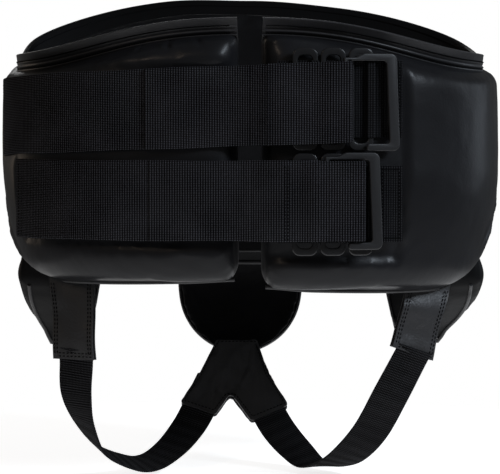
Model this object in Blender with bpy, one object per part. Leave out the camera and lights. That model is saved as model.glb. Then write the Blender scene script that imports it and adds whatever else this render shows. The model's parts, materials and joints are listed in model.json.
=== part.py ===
"""Groin protector: a padded belt with a hard cup, two back straps that hook into rings, and elastic leg straps.

Metres, +Z up. The origin is the centre of the waist opening, between the two back straps.
The cup faces -Y and the wearer's left is +X. Distances round the belt are measured along its
outside from the middle of the back, positive towards -X.
"""

import math

import bmesh
import bpy
import numpy as np
from mathutils import Matrix, Vector

GAP = 0.0003  # between pieces that touch

# The belt's outside, a superellipse in plan
HALF_WIDTH = 0.204
HALF_DEPTH_BACK = 0.157
HALF_DEPTH_FRONT = 0.135
ROUNDNESS = 2.6
LOWER_TAPER = 0.014
TAPER_TOP, TAPER_BOTTOM = -0.010, -0.110

# The padding: a cover, foam and a lining
COVER = 0.0014
LINING = 0.0012
PADDING = 0.034
EDGE_ROLL = 0.017
EDGE_ROLL_RADIUS = 0.024
SEAM_ROLL_RADIUS = 0.010
RIM_AT_HIPS = 0.083
RIM_RISE_BACK, RIM_POWER_BACK = 0.0265, 4.6
RIM_RISE_FRONT, RIM_PEAK_FRONT = 0.040, 0.0115
RIM_SKEW = 0.0026  # the front's rim stands this much higher on the wearer's left
HIP_ROLL, HIP_ROLL_RADIUS = 0.008, 0.014  # the edges' roll and its radius shrink this much at the hips
LOBE_FLARE, LOBE_FLARE_TOP, LOBE_FLARE_HEIGHT = 0.009, -0.075, 0.030
FLANGE_HEIGHT = 0.0145
FLANGE, FLANGE_SINK = 0.003, 0.002
WING_FLARE, FRONT_FLARE = 0.013, 0.011
BACK_GAP = 0.021
CORNER_RADIUS = 0.012
SEAM_GAP = 0.0008

# Lower edge of the padding: distance from the middle of the back, or of the front, and height
LEFT_WING_EDGE = ((0.0105, -0.098), (0.060, -0.100), (0.190, -0.102), (0.255, -0.092), (0.290, -0.076))
RIGHT_WING_EDGE = ((0.0105, -0.104), (0.060, -0.107), (0.190, -0.109), (0.255, -0.097), (0.290, -0.076))
FRONT_EDGE = (
    (0.000, -0.098), (0.055, -0.098), (0.090, -0.082), (0.122, -0.086), (0.158, -0.096),
    (0.168, -0.130), (0.176, -0.155), (0.185, -0.167), (0.198, -0.1665), (0.2095, -0.155),
    (0.228, -0.143), (0.243, -0.134), (0.262, -0.123), (0.282, -0.110),
)
LOBE_PLACES = (0.158, 0.162, 0.166, 0.170, 0.176, 0.198, 0.212, 0.228, 0.243, 0.256, 0.268)
FRONT_SKEW = 0.010  # the cup and the lobes hang this far towards the wearer's left

# The two back straps, sewn to the left wing and looped round their hooks
STRAP_HEIGHT = 0.063
STRAP = 0.0015
UPPER_STRAP_START, LOWER_STRAP_START = -0.286, -0.212
UPPER_LOOP_END, LOWER_LOOP_END = 0.0745, 0.0845
UPPER_SEWN_AT, LOWER_SEWN_AT = 0.013, 0.027
STRAP_LAY = 0.0002  # the strap lies this far off the padding
RAMP_START, RAMP_END = -0.018, 0.028  # where a strap rises from the padding to the rings' level
LOOP_RAMP, UPPER_BAR_SIDE, LOWER_BAR_SIDE = 0.016, 0.010, 0.006
STRAP_LOOP_RADIUS = 0.0029
STRAP_RETURN_HEIGHT = 0.00825
STRAP_PAIR_GAP = 0.0021
UPPER_STRAP_Z, UPPER_STRAP_SLOPE = 0.0405, 0.036
LOWER_STRAP_Z = -0.0338

# Rows of rings held on the right wing by a tape
RING_WIDTH, RING_HEIGHT, RING = 0.0200, 0.080, 0.0026
RING_BAR, RING_END = 0.0042, 0.0058
RING_FIRST, RING_PITCH, RING_COUNT = 0.0325, 0.0217, 3
RING_LIFT = 0.0027
TAPE = 0.0009
TAPE_HEIGHT = 0.060
TAPE_START, TAPE_END = 0.021, 0.121
UPPER_ROW_Z, LOWER_ROW_Z = 0.0455, -0.0365

# The hooks, each turning on the bar inside its strap's loop
HOOK = 0.0032
HOOK_BAR_HEIGHT = 0.01095
HOOK_WINDOW, HOOK_OUTSIDE = 0.0322, 0.0380
UPPER_HOOK_AT, UPPER_HOOK_TILT = 0.0725, math.radians(8)
LOWER_HOOK_AT, LOWER_HOOK_TILT = 0.0585, math.radians(5)

# The cup hangs below the middle of the front
CUP_TOP, CUP_BOTTOM = -0.066, -0.1785
CUP_ROUNDNESS, CUP_FULLNESS = 4.6, 0.62  # how round the tongue's tip is
CUP_TOP_WIDTH, CUP_WIDEST = 0.80, 0.75  # its width at the top as a share, and how far down it's widest
RETREAT_START, RETREAT_LENGTH = 0.30, 1.25
CROWN_START, CROWN_LENGTH, CROWN_POWER = 0.10, 0.76, 0.8
CUP_HALF_WIDTH, CUP_TIP_HALF_WIDTH = 0.056, 0.007
CUP_SIDE = 0.0088
CUP_BULGE = 0.018
CUP_STAND_OFF = 0.005
CUP_RETREAT = 0.050
CUP_SHELL = 0.0030
CUP_PAD = 0.0060

# Leg straps
ELASTIC_WIDTH, ELASTIC = 0.030, 0.0020
TAB_WIDTH, TAB_LEATHER, TAB_POCKET = 0.040, 0.0014, 0.0026
TAB_AT, TAB_DEPTH = 0.188, 0.021
YOKE = 0.0016

VINYL = (0.012, 0.012, 0.013, 1)
SATIN = (0.016, 0.016, 0.018, 1)
WEBBING = (0.022, 0.022, 0.024, 1)
LEATHER = (0.014, 0.013, 0.013, 1)
PLASTIC = (0.030, 0.030, 0.032, 1)
FOAM = (0.060, 0.060, 0.062, 1)


def clear_scene():
    for item in list(bpy.data.objects):
        bpy.data.objects.remove(item)


def material(name, colour, roughness):
    made = bpy.data.materials.new(name)
    made.use_nodes = True
    shader = made.node_tree.nodes["Principled BSDF"]
    shader.inputs["Base Color"].default_value = colour
    shader.inputs["Roughness"].default_value = roughness
    shader.inputs["Metallic"].default_value = 0.0
    return made


def ease(share):
    share = min(max(share, 0.0), 1.0)
    return share * share * (3 - 2 * share)


def curve_through(points, at):
    """Height at a distance, on a smooth line through the given points that never overshoots them."""
    places, heights = np.array(points).T
    steps = np.diff(places)
    slopes = np.diff(heights) / steps
    turns = np.zeros(len(points))
    same_way = slopes[:-1] * slopes[1:] > 0
    both = np.where(same_way, slopes[:-1] + slopes[1:], 1)
    turns[1:-1] = np.where(same_way, 2 * slopes[:-1] * slopes[1:] / both, 0)
    i = min(max(int(np.searchsorted(places, at)) - 1, 0), len(points) - 2)
    t = min(max((at - places[i]) / steps[i], 0.0), 1.0)
    leaving, arriving = turns[i] * steps[i], turns[i + 1] * steps[i]
    rise = (heights[i + 1] - heights[i]) * ease(t)
    return float(heights[i] + rise + leaving * t * (1 - t) ** 2 - arriving * t * t * (1 - t))


def powered(value, power):
    return math.copysign(abs(value) ** power, value)


def section(angle, z, depth):
    """Point of the belt at an angle from the back, a height, and a depth below its outside."""
    drawn_in = LOWER_TAPER * ease((TAPER_TOP - z) / (TAPER_TOP - TAPER_BOTTOM)) + depth
    if math.cos(angle) < 0:
        drawn_in -= LOBE_FLARE * math.sin(angle) ** 2 * ease((LOBE_FLARE_TOP - z) / LOBE_FLARE_HEIGHT)
    half_depth = HALF_DEPTH_BACK if math.cos(angle) > 0 else HALF_DEPTH_FRONT
    x = -(HALF_WIDTH - drawn_in) * powered(math.sin(angle), 2 / ROUNDNESS)
    y = (half_depth - drawn_in) * powered(math.cos(angle), 2 / ROUNDNESS)
    return Vector((x, y, z))


def arc_table():
    """Angles round the belt, and the distance along its outside at each."""
    angles = np.linspace(-math.pi, math.pi, 2881)
    points = np.array([section(angle, 0, 0)[:2] for angle in angles])
    steps = np.hypot(*np.diff(points, axis=0).T)
    lengths = np.concatenate([[0], np.cumsum(steps)])
    return angles, lengths - lengths[-1] / 2


ANGLES, LENGTHS = arc_table()
HIP = float(np.interp(math.pi / 2, ANGLES, LENGTHS))
FRONT = float(LENGTHS[-1])


def wrapped(around):
    """The same place, as a distance between -FRONT and FRONT."""
    return (around + FRONT) % (2 * FRONT) - FRONT


def angle_at(around):
    return float(np.interp(wrapped(around), LENGTHS, ANGLES))


def belt(around, z, depth):
    return section(angle_at(around), z, depth)


def outward(around):
    step = 0.0005
    along = belt(around + step, 0, 0) - belt(around - step, 0, 0)
    return Vector((-along.y, along.x, 0)).normalized() * -1


def on_belt(around, height, z):
    """Point at a height above the belt's outside."""
    return belt(around, 0, 0) + outward(around) * height + Vector((0, 0, z))


def rim(around):
    """Height of the belt's upper edge."""
    facing = math.cos(angle_at(around))
    if facing > 0:
        return RIM_AT_HIPS + RIM_RISE_BACK * facing**RIM_POWER_BACK
    from_front = FRONT - abs(wrapped(around))
    skew = RIM_SKEW * ease(from_front / 0.080) * ease((FRONT - HIP - from_front) / 0.060)
    height = RIM_AT_HIPS + RIM_RISE_FRONT * abs(facing) + RIM_PEAK_FRONT * facing**4
    return height + (skew if wrapped(around) < 0 else -skew)


def hip_share(around):
    """1 at the hips, falling to 0 towards the back and the front."""
    return math.sin(angle_at(around)) ** 12


def edge_sink(around):
    """How far the padding's outside sinks at its upper and lower edges."""
    return EDGE_ROLL - HIP_ROLL * hip_share(around)


def lower_edge(around):
    from_back = abs(wrapped(around))
    right = wrapped(around) > 0
    if from_back <= HIP:
        return curve_through(RIGHT_WING_EDGE if right else LEFT_WING_EDGE, from_back)
    from_front = FRONT - from_back
    skew = FRONT_SKEW * ease(from_front / 0.060) * ease((FRONT - HIP - from_front) / 0.120)
    return curve_through(FRONT_EDGE, from_front + (skew if right else -skew))


def finish_mesh(name, mesh, look, location=None):
    """Make the object, with its origin at a place if one is given, and its normals outwards."""
    bmesh.ops.recalc_face_normals(mesh, faces=mesh.faces)
    if mesh.calc_volume(signed=True) < 0:
        bmesh.ops.reverse_faces(mesh, faces=mesh.faces)
    if location:
        bmesh.ops.translate(mesh, verts=mesh.verts, vec=-location)
    data = bpy.data.meshes.new(name)
    mesh.to_mesh(data)
    mesh.free()
    data.shade_smooth()
    data.set_sharp_from_angle(angle=math.radians(35))
    data.materials.append(look)
    made = bpy.data.objects.new(name, data)
    if location:
        made.location = location
    bpy.context.scene.collection.objects.link(made)
    return made


def skinned_grid(name, outer, inner, look):
    """Close two equal grids of points into one solid."""
    mesh = bmesh.new()
    sides = [[[mesh.verts.new(point) for point in row] for row in grid] for grid in (outer, inner)]
    rows, columns = len(outer), len(outer[0])
    for side in sides:
        for i in range(rows - 1):
            for j in range(columns - 1):
                mesh.faces.new((side[i][j], side[i][j + 1], side[i + 1][j + 1], side[i + 1][j]))
    mesh.edges.ensure_lookup_table()
    rims = [edge for edge in mesh.edges if len(edge.link_faces) == 1]
    bmesh.ops.bridge_loops(mesh, edges=rims)
    return finish_mesh(name, mesh, look)


def edge_roll(to_edge, radius):
    """How far the outside sinks towards an edge of the padding, as a quarter round."""
    short = max(0.0, 1 - to_edge / radius)
    return 1 - math.sqrt(max(0.0, 1 - short * short))


def padding_depth(around, z, low, high, start, end):
    """Depth of the padding's outside: zero in the middle, rolled in at its edges and ends."""
    round_off = EDGE_ROLL_RADIUS - HIP_ROLL_RADIUS * hip_share(around)
    upright = max(edge_roll(z - low, round_off), edge_roll(high - z, round_off))
    ends = []
    for place in (start, end):
        at_back = abs(place) < HIP / 2
        radius = EDGE_ROLL_RADIUS if at_back else SEAM_ROLL_RADIUS
        amount = 1.0 if at_back else 0.35
        ends.append(amount * edge_roll(abs(around - place), radius))
    return edge_sink(around) * min(1.0, math.hypot(upright, max(ends)))


def spread(start, end, count, ease_ends):
    """Places from start to end, closer together near the ends."""
    shares = np.linspace(0, 1, count + 1)
    shares = (1 - ease_ends) * shares + ease_ends * (0.5 - 0.5 * np.cos(np.pi * shares))
    return [start + (end - start) * float(share) for share in shares]


def padded_panel(name, places, looks):
    """The cover, foam and lining of one stretch of the belt, nested in each other."""
    layers = (
        ("cover", 0.0, COVER),
        ("foam", COVER + GAP, PADDING - LINING - GAP),
        ("lining", PADDING - LINING, PADDING),
    )
    start, end = places[0], places[-1]
    for layer, top, bottom in layers:
        outer, inner = [], []
        for share in spread(0, 1, 7, 0.75):
            rows = ([], [])
            for around in places:
                low, high = lower_edge(around), rim(around) - FLANGE_HEIGHT
                for end_place in (start, end):
                    if abs(end_place) < HIP / 2:
                        low += CORNER_RADIUS * edge_roll(abs(around - end_place), CORNER_RADIUS)
                z = low + (high - low) * share
                rolled = padding_depth(around, z, low, high, start, end)
                depths = [rolled + top, rolled + bottom]
                if layer != "cover":
                    depths[1] = bottom
                if layer == "lining":
                    depths[0] = top
                for row, depth in zip(rows, depths):
                    row.append(belt(around, z, depth))
            outer.append(rows[0])
            inner.append(rows[1])
        skinned_grid(f"{name}_{layer}", outer, inner, looks[layer])


def flange(name, start, end, columns, flare, look):
    """The flat sewn border that stands on the padding's upper edge and leans outwards."""
    outer, inner = [], []
    for share in (0.0, 0.5, 1.0):
        rows = ([], [])
        for around in spread(start, end, columns, 0.2):
            foot = rim(around) - FLANGE_HEIGHT + GAP
            z = foot + (FLANGE_HEIGHT - GAP) * share
            depth = edge_sink(around) + FLANGE_SINK - (flare - HIP_ROLL * hip_share(around)) * share
            rows[0].append(belt(around, z, depth))
            rows[1].append(belt(around, z, depth + FLANGE))
        outer.append(rows[0])
        inner.append(rows[1])
    skinned_grid(name, outer, inner, look)


def ribbon(name, route, thickness, half_height, z_at, look):
    """A band that follows a route of (distance round the belt, height above it)."""
    flat = np.array(route)
    ahead = np.diff(flat, axis=0)
    ahead /= np.linalg.norm(ahead, axis=1)[:, None]
    sides = np.stack([-ahead[:, 1], ahead[:, 0]], axis=1)
    sides = np.vstack([sides[:1], sides, sides[-1:]])
    turned = sides[:-1] + sides[1:]
    turned /= (turned * sides[1:]).sum(axis=1)[:, None]
    outer, inner = [], []
    for (around, height), side in zip(flat, turned):
        for grid, sign in ((outer, 1), (inner, -1)):
            place, lift = (around, height) + sign * side * thickness / 2
            grid.append([on_belt(place, lift, z_at(around) + edge * half_height) for edge in (-1, 1)])
    return skinned_grid(name, outer, inner, look)


def with_steps(corners, longest):
    """The route through the corners, with no step longer than asked."""
    route = [corners[0]]
    for start, end in zip(corners, corners[1:]):
        steps = max(1, math.ceil(math.dist(start, end) / longest))
        for step in range(1, steps + 1):
            share = step / steps
            route.append(tuple(a + (b - a) * share for a, b in zip(start, end)))
    return route


def strap_route(strap_start, loop_end, sewn_at, bar_side):
    """Along the left wing, over the rings, round the loop's end and back to the stitching."""
    flat = GAP + STRAP / 2 + STRAP_LAY
    outer_height = STRAP_RETURN_HEIGHT + STRAP_PAIR_GAP
    loop_top = STRAP_RETURN_HEIGHT + 2 * STRAP_LOOP_RADIUS
    route = [(place, flat) for place in spread(strap_start, RAMP_START, 24, 0.0)]
    for place in spread(RAMP_START, RAMP_END, 7, 0.0)[1:]:
        share = ease((place - RAMP_START) / (RAMP_END - RAMP_START))
        route.append((place, flat + (outer_height - flat) * share))
    for place in spread(bar_side - LOOP_RAMP, bar_side, 4, 0.0):
        share = ease((place - bar_side + LOOP_RAMP) / LOOP_RAMP)
        route.append((place, outer_height + (loop_top - outer_height) * share))
    middle = STRAP_RETURN_HEIGHT + STRAP_LOOP_RADIUS
    for step in range(9):
        turn = math.pi * (0.5 - step / 8)
        route.append(
            (loop_end + STRAP_LOOP_RADIUS * math.cos(turn), middle + STRAP_LOOP_RADIUS * math.sin(turn))
        )
    route += [(place, STRAP_RETURN_HEIGHT) for place in spread(loop_end, sewn_at, 6, 0.0)[1:]]
    return route


def back_straps(look):
    def upper(around):
        return UPPER_STRAP_Z + UPPER_STRAP_SLOPE * around

    def lower(around):
        return LOWER_STRAP_Z

    upper_bar, lower_bar = UPPER_LOOP_END - UPPER_BAR_SIDE, LOWER_HOOK_AT - LOWER_BAR_SIDE
    upper_route = strap_route(UPPER_STRAP_START, UPPER_LOOP_END, UPPER_SEWN_AT, upper_bar)
    lower_route = strap_route(LOWER_STRAP_START, LOWER_LOOP_END, LOWER_SEWN_AT, lower_bar)
    ribbon("upper_back_strap", upper_route, STRAP, STRAP_HEIGHT / 2, upper, look)
    ribbon("lower_back_strap", lower_route, STRAP, STRAP_HEIGHT / 2, lower, look)


def ring_tapes(row, z, look):
    """The base tape sewn to the wing, and the tape over it that holds one bar of each ring."""
    base = GAP + TAPE / 2
    low = base + TAPE + GAP
    top = RING_LIFT + RING + 0.0005 + TAPE / 2
    held = [(TAPE_START, low)]
    for number in range(RING_COUNT):
        start = RING_FIRST + number * RING_PITCH
        before, after = start + RING_WIDTH - RING_BAR - 0.0012, start + RING_WIDTH + 0.00085
        held += [(before, low), (before, top), (after, top), (after, low)]
    held.append((TAPE_END, low))
    straight = with_steps([(TAPE_START, base), (TAPE_END, base)], 0.010)
    ribbon(f"{row}_base_tape", straight, TAPE, TAPE_HEIGHT / 2, lambda around: z, look)
    ribbon(f"{row}_ring_tape", with_steps(held, 0.010), TAPE, TAPE_HEIGHT / 2, lambda around: z, look)


def rounded_outline(corners, steps):
    """Points of an outline whose corners, (x, y, radius), are rounded."""
    outline = []
    for index, (x, y, radius) in enumerate(corners):
        here = Vector((x, y))
        before = (Vector(corners[index - 1][:2]) - here).normalized()
        after = (Vector(corners[(index + 1) % len(corners)][:2]) - here).normalized()
        half = before.angle(after) / 2
        centre = here + (before + after).normalized() * radius / math.sin(half)
        first = here + before * radius / math.tan(half) - centre
        last = here + after * radius / math.tan(half) - centre
        sweep = first.angle_signed(last)
        for step in range(steps + 1):
            turn = Matrix.Rotation(-sweep * step / steps, 2)
            outline.append(centre + turn @ first)
    return outline


def plate(name, outlines, thickness, frame, look, bevel):
    """A flat plate from an outer outline and an optional opening, placed by a frame matrix."""
    mesh = bmesh.new()
    loops = []
    for side in (-thickness / 2, thickness / 2):
        for outline in outlines:
            loops.append([mesh.verts.new((p.x, side, p.y)) for p in outline])
    count = len(outlines)
    if count == 1:
        for loop in loops:
            mesh.faces.new(loop)
        pairs = [(loops[0], loops[1])]
    else:
        pairs = [(loops[0], loops[1]), (loops[2], loops[3]), (loops[0], loops[2]), (loops[1], loops[3])]
    for one, other in pairs:
        for i in range(len(one)):
            j = (i + 1) % len(one)
            mesh.faces.new((one[i], one[j], other[j], other[i]))
    made = finish_mesh(name, mesh, look)
    made.matrix_world = frame
    if bevel:
        edge = made.modifiers.new("eased_edges", "BEVEL")
        edge.width = bevel
        edge.segments = 1
        edge.limit_method = "ANGLE"
        edge.angle_limit = math.radians(60)
    return made


def standing_frame(around, height, z, tilt):
    """Frame at a place on the belt: +X further round it, +Y outwards, turned about +Z by a tilt."""
    y_axis = outward(around)
    x_axis = Vector((y_axis.y, -y_axis.x, 0)) * -1
    axes = Matrix((x_axis, y_axis, Vector((0, 0, 1)))).transposed().to_4x4()
    return Matrix.Translation(on_belt(around, height, z)) @ axes @ Matrix.Rotation(tilt, 4, "Z")


def rings(row, z, look):
    for number in range(RING_COUNT):
        held_bar = RING_FIRST + number * RING_PITCH + RING_WIDTH - RING_BAR / 2
        near, far = -RING_WIDTH + RING_BAR / 2, RING_BAR / 2
        half = RING_HEIGHT / 2
        outside = [(near, -half, 0.005), (far, -half, 0.005), (far, half, 0.005), (near, half, 0.005)]
        inset = ((1, 1), (-1, 1), (-1, -1), (1, -1))
        opening = [
            (x + sx * RING_BAR, y + sy * RING_END, 0.0022)
            for (x, y, _), (sx, sy) in zip(outside, inset)
        ]
        outlines = [rounded_outline(corners, 2) for corners in (outside, opening)]
        frame = standing_frame(held_bar, RING_LIFT + RING / 2, z, 0.0)
        plate(f"{row}_ring_{number + 1}", outlines, RING, frame, look, 0)


def hook(name, around, z, tilt, look):
    """A G-shaped hook: the bar in the strap's loop, an arm, a leaning far bar and an open lower arm."""
    bar = HOOK / 2
    corners = (
        (-bar, -0.0310, 0.0006), (bar, -0.0310, 0.0006), (bar, HOOK_WINDOW, 0.0012),
        (0.0335, HOOK_WINDOW, 0.0025), (0.0365, -HOOK_WINDOW, 0.0025), (0.0180, -HOOK_WINDOW, 0.0020),
        (0.0170, -HOOK_OUTSIDE, 0.0020), (0.0450, -HOOK_OUTSIDE, 0.0045), (0.0420, HOOK_OUTSIDE, 0.0045),
        (0.0150, HOOK_OUTSIDE, 0.0040), (0.0085, 0.0348, 0.0040), (-bar, 0.0348, 0.0012),
    )
    frame = standing_frame(around, HOOK_BAR_HEIGHT, z, tilt)
    plate(name, [rounded_outline(corners, 2)], HOOK, frame, look, 0.0007)


def cup_surface(across, down, depth):
    """Point of the cup: across from -1 to 1, down from 0 to 1, and a depth below its outside."""
    half = max(CUP_TIP_HALF_WIDTH, CUP_HALF_WIDTH * (1 - down**CUP_ROUNDNESS) ** CUP_FULLNESS)
    widening = math.sin(math.pi * min(1.0, down + 1 - CUP_WIDEST) / 2)
    half *= CUP_TOP_WIDTH + (1 - CUP_TOP_WIDTH) * widening
    back = CUP_RETREAT * ease((down - RETREAT_START) / RETREAT_LENGTH) - HALF_DEPTH_FRONT - CUP_STAND_OFF
    upright = math.sin(math.pi * (CROWN_START + CROWN_LENGTH * down))
    crown = ((1 - across * across) * upright) ** CROWN_POWER
    z = CUP_TOP + (CUP_BOTTOM - CUP_TOP) * down
    return Vector((CUP_SIDE + half * across, back - CUP_BULGE * crown + depth, z))


def cup(looks):
    """The moulded shell between its vinyl cover and its pad."""
    cover, shell = COVER, COVER + GAP + CUP_SHELL
    layers = (
        ("cup_cover", 0.0, cover),
        ("cup_shell", cover + GAP, shell),
        ("cup_pad", shell + GAP, shell + GAP + CUP_PAD),
    )
    for name, top, bottom in layers:
        grids = [
            [[cup_surface(x, y, depth) for x in spread(-1, 1, 10, 0.7)] for y in spread(0, 1, 11, 0.9)]
            for depth in (top, bottom)
        ]
        skinned_grid(name, *grids, looks[name])


def smooth_route(points, count):
    """Points evenly spaced in parameter on a smooth curve through the given ones."""
    data = np.array(points, float)
    ends = np.vstack([2 * data[0] - data[1], data, 2 * data[-1] - data[-2]])
    route = []
    for place in np.linspace(0, len(data) - 1, count):
        i = min(int(place), len(data) - 2)
        t = place - i
        a, b, c, d = ends[i : i + 4]
        route.append(
            0.5 * (2 * b + (c - a) * t + (2 * a - 5 * b + 4 * c - d) * t**2 + (3 * b - a - 3 * c + d) * t**3)
        )
    return np.array(route)


def band(name, centres, widths, width, thickness, look):
    """A flat band along centres in space, with the direction of its width at each."""
    outer, inner = [], []
    for i, (centre, across) in enumerate(zip(centres, widths)):
        ahead = Vector(centres[min(i + 1, len(centres) - 1)] - centres[max(i - 1, 0)]).normalized()
        across = Vector(across)
        across = (across - ahead * across.dot(ahead)).normalized()
        face = ahead.cross(across)
        for grid, sign in ((outer, 1), (inner, -1)):
            middle = Vector(centre) + face * sign * thickness / 2
            grid.append([middle + across * edge * width / 2 for edge in (-1, 1)])
    return skinned_grid(name, outer, inner, look)


# Leg straps' routes from the tab on the wing to the yoke: place and direction of the width
LEFT_LEG = (
    ((0.1410, 0.0880, -0.1683), (0.92, -0.39, 0.00)),
    ((0.1415, 0.0840, -0.1935), (0.86, -0.51, 0.00)),
    ((0.1360, 0.0750, -0.2189), (0.60, -0.80, 0.03)),
    ((0.1238, 0.0550, -0.2430), (0.30, -0.94, 0.12)),
    ((0.1010, 0.0300, -0.2575), (0.24, -0.93, 0.22)),
    ((0.0840, 0.0090, -0.2600), (0.42, -0.84, 0.28)),
    ((0.0675, -0.0150, -0.2515), (0.72, -0.60, 0.28)),
    ((0.0537, -0.0368, -0.2370), (0.87, -0.38, 0.30)),
    ((0.0447, -0.0506, -0.2225), (0.91, -0.27, 0.314)),
    ((0.0385, -0.0611, -0.2103), (0.91, -0.27, 0.314)),
    ((0.0320, -0.0717, -0.1980), (0.91, -0.27, 0.314)),
)
RIGHT_LEG = (
    ((-0.1285, 0.0880, -0.1665), (0.89, 0.30, 0.36)),
    ((-0.1155, 0.0800, -0.1932), (0.88, 0.22, 0.42)),
    ((-0.1005, 0.0620, -0.2250), (0.87, 0.24, 0.42)),
    ((-0.0855, 0.0420, -0.2465), (0.86, 0.32, 0.36)),
    ((-0.0722, 0.0190, -0.2590), (0.87, 0.44, 0.20)),
    ((-0.0541, -0.0020, -0.2640), (0.87, 0.49, -0.03)),
    ((-0.0390, -0.0200, -0.2535), (0.86, 0.42, -0.26)),
    ((-0.0247, -0.0368, -0.2385), (0.90, 0.30, -0.32)),
    ((-0.0145, -0.0506, -0.2225), (0.91, 0.27, -0.314)),
    ((-0.0085, -0.0611, -0.2103), (0.91, 0.27, -0.314)),
    ((-0.0020, -0.0717, -0.1980), (0.91, 0.27, -0.314)),
)


def leg_elastics(look):
    for name, leg in (("left_leg_elastic", LEFT_LEG), ("right_leg_elastic", RIGHT_LEG)):
        centres = smooth_route([place for place, _ in leg], 24)
        widths = smooth_route([width for _, width in leg], 24)
        band(name, centres, widths, ELASTIC_WIDTH, ELASTIC, look)


TAB_ACROSS, TAB_FACING = 0.92, 0.39  # the tabs turn a little towards the hips
TAB_NARROWING, TAB_POCKET_TOP, TAB_TUCK = 0.08, 0.55, 0.001
TABS = (
    # name, distance round the back, middle of the foot, slant of the foot
    ("left_leg_tab", -TAB_AT, (0.1421, 0.0880, -0.1648), 0.0),
    ("right_leg_tab", TAB_AT, (-0.1304, 0.0880, -0.1600), 0.0065),
)


def leg_tabs(look):
    """Folded leather tabs below the wings, open downwards for the elastic's end."""
    depth = TAB_POCKET / 2 + TAB_LEATHER
    half = TAB_WIDTH / 2
    for name, around, bottom, slant in TABS:
        head, foot = belt(around, lower_edge(around) - TAB_TUCK, TAB_DEPTH), Vector(bottom)
        side = 1 if head.x > 0 else -1
        across = Vector((TAB_ACROSS, -TAB_FACING * side, 0))
        face = Vector((TAB_FACING * side, TAB_ACROSS, 0))
        mesh = bmesh.new()
        profile = (
            (-depth, 0.0), (-depth, 1.0), (-TAB_POCKET / 2, 1.0), (-TAB_POCKET / 2, TAB_POCKET_TOP),
            (TAB_POCKET / 2, TAB_POCKET_TOP), (TAB_POCKET / 2, 1.0), (depth, 1.0), (depth, 0.0),
        )
        ends = []
        for edge in (-1, 1):
            loop = []
            for out, down in profile:
                point = head.lerp(foot, down) + face * out + across * edge * half * (1 - TAB_NARROWING * down)
                point.z += slant * edge * down
                loop.append(mesh.verts.new(point))
            ends.append(loop)
            mesh.faces.new(loop)
        for i in range(len(profile)):
            j = (i + 1) % len(profile)
            mesh.faces.new((ends[0][i], ends[0][j], ends[1][j], ends[1][i]))
        bmesh.ops.triangulate(mesh, faces=[face for face in mesh.faces if len(face.verts) > 4])
        finish_mesh(name, mesh, look)


YOKE_OUTLINE = (
    # across, height and corner radius, before the yoke is leant to its slope
    (0.030, -0.168, 0.003), (0.0450, -0.196, 0.020), (0.0610, -0.2185, 0.003), (0.0300, -0.2275, 0.003),
    (0.0172, -0.2110, 0.004), (-0.0012, -0.2325, 0.003), (-0.0335, -0.2205, 0.003),
    (-0.0160, -0.1950, 0.016), (-0.0065, -0.168, 0.003),
)
YOKE_TOP, YOKE_FOOT = (0, -0.0975, -0.168), (0, -0.0450, -0.229)


def yoke(look):
    """Two leather pieces, an upside-down V, with the elastics' ends between them."""
    rise, fall = Vector(YOKE_TOP), Vector(YOKE_FOOT)
    lean = math.atan2(fall.y - rise.y, rise.z - fall.z)
    stretch = (fall - rise).length / (rise.z - fall.z)
    flat = [(x, (z - rise.z) * stretch, radius) for x, z, radius in YOKE_OUTLINE]
    for name, side in (("yoke_outer", 1), ("yoke_backing", -1)):
        offset = side * (ELASTIC / 2 + GAP + YOKE / 2)
        turn = Matrix.Rotation(lean, 4, "X")
        frame = Matrix.Translation(rise) @ turn @ Matrix.Translation(Vector((0, offset, 0)))
        plate(name, [rounded_outline(flat, 2)], YOKE, frame, look, 0)


def build():
    clear_scene()
    vinyl = material("padded_vinyl", VINYL, 0.28)
    lining = material("satin_lining", SATIN, 0.60)
    foam = material("foam", FOAM, 0.90)
    webbing = material("elastic_webbing", WEBBING, 0.75)
    leather = material("soft_leather", LEATHER, 0.42)
    plastic = material("hook_plastic", PLASTIC, 0.38)
    shell = material("cup_plastic", PLASTIC, 0.45)
    looks = {"cover": vinyl, "foam": foam, "lining": lining}

    seam = HIP - SEAM_GAP / 2
    padded_panel("left_wing", spread(-seam, -BACK_GAP / 2, 11, 0.35), looks)
    padded_panel("right_wing", spread(BACK_GAP / 2, seam, 11, 0.35), looks)
    front_seam = HIP + SEAM_GAP / 2
    front_places = spread(front_seam, 2 * FRONT - front_seam, 30, 0.35)
    lobes = [FRONT + side * place + FRONT_SKEW for side in (-1, 1) for place in LOBE_PLACES]
    kept = [p for p in front_places if min(abs(p - place) for place in lobes) > 0.004]
    padded_panel("front", sorted(kept + lobes), looks)
    flange("left_wing_flange", -seam + 0.003, -BACK_GAP / 2, 11, WING_FLARE, leather)
    flange("right_wing_flange", BACK_GAP / 2, seam - 0.003, 11, WING_FLARE, leather)
    flange("front_flange", front_seam + 0.003, 2 * FRONT - front_seam - 0.003, 32, FRONT_FLARE, leather)

    cup({"cup_cover": vinyl, "cup_shell": shell, "cup_pad": lining})
    leg_elastics(webbing)
    leg_tabs(leather)
    yoke(leather)
    back_straps(webbing)
    for row, z in (("upper", UPPER_ROW_Z), ("lower", LOWER_ROW_Z)):
        ring_tapes(row, z, webbing)
        rings(row, z, plastic)
    upper_z = UPPER_STRAP_Z + UPPER_STRAP_SLOPE * UPPER_HOOK_AT
    hook("upper_hook", UPPER_HOOK_AT, upper_z, -UPPER_HOOK_TILT, plastic)
    hook("lower_hook", LOWER_HOOK_AT, LOWER_STRAP_Z, -LOWER_HOOK_TILT, plastic)


build()
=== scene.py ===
"""Looks of the groin protector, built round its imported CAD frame. Metres, +Z up, the cup faces -Y."""

import json
import math

import bmesh
import bpy
import numpy as np
from mathutils import Matrix, Vector, noise

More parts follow.
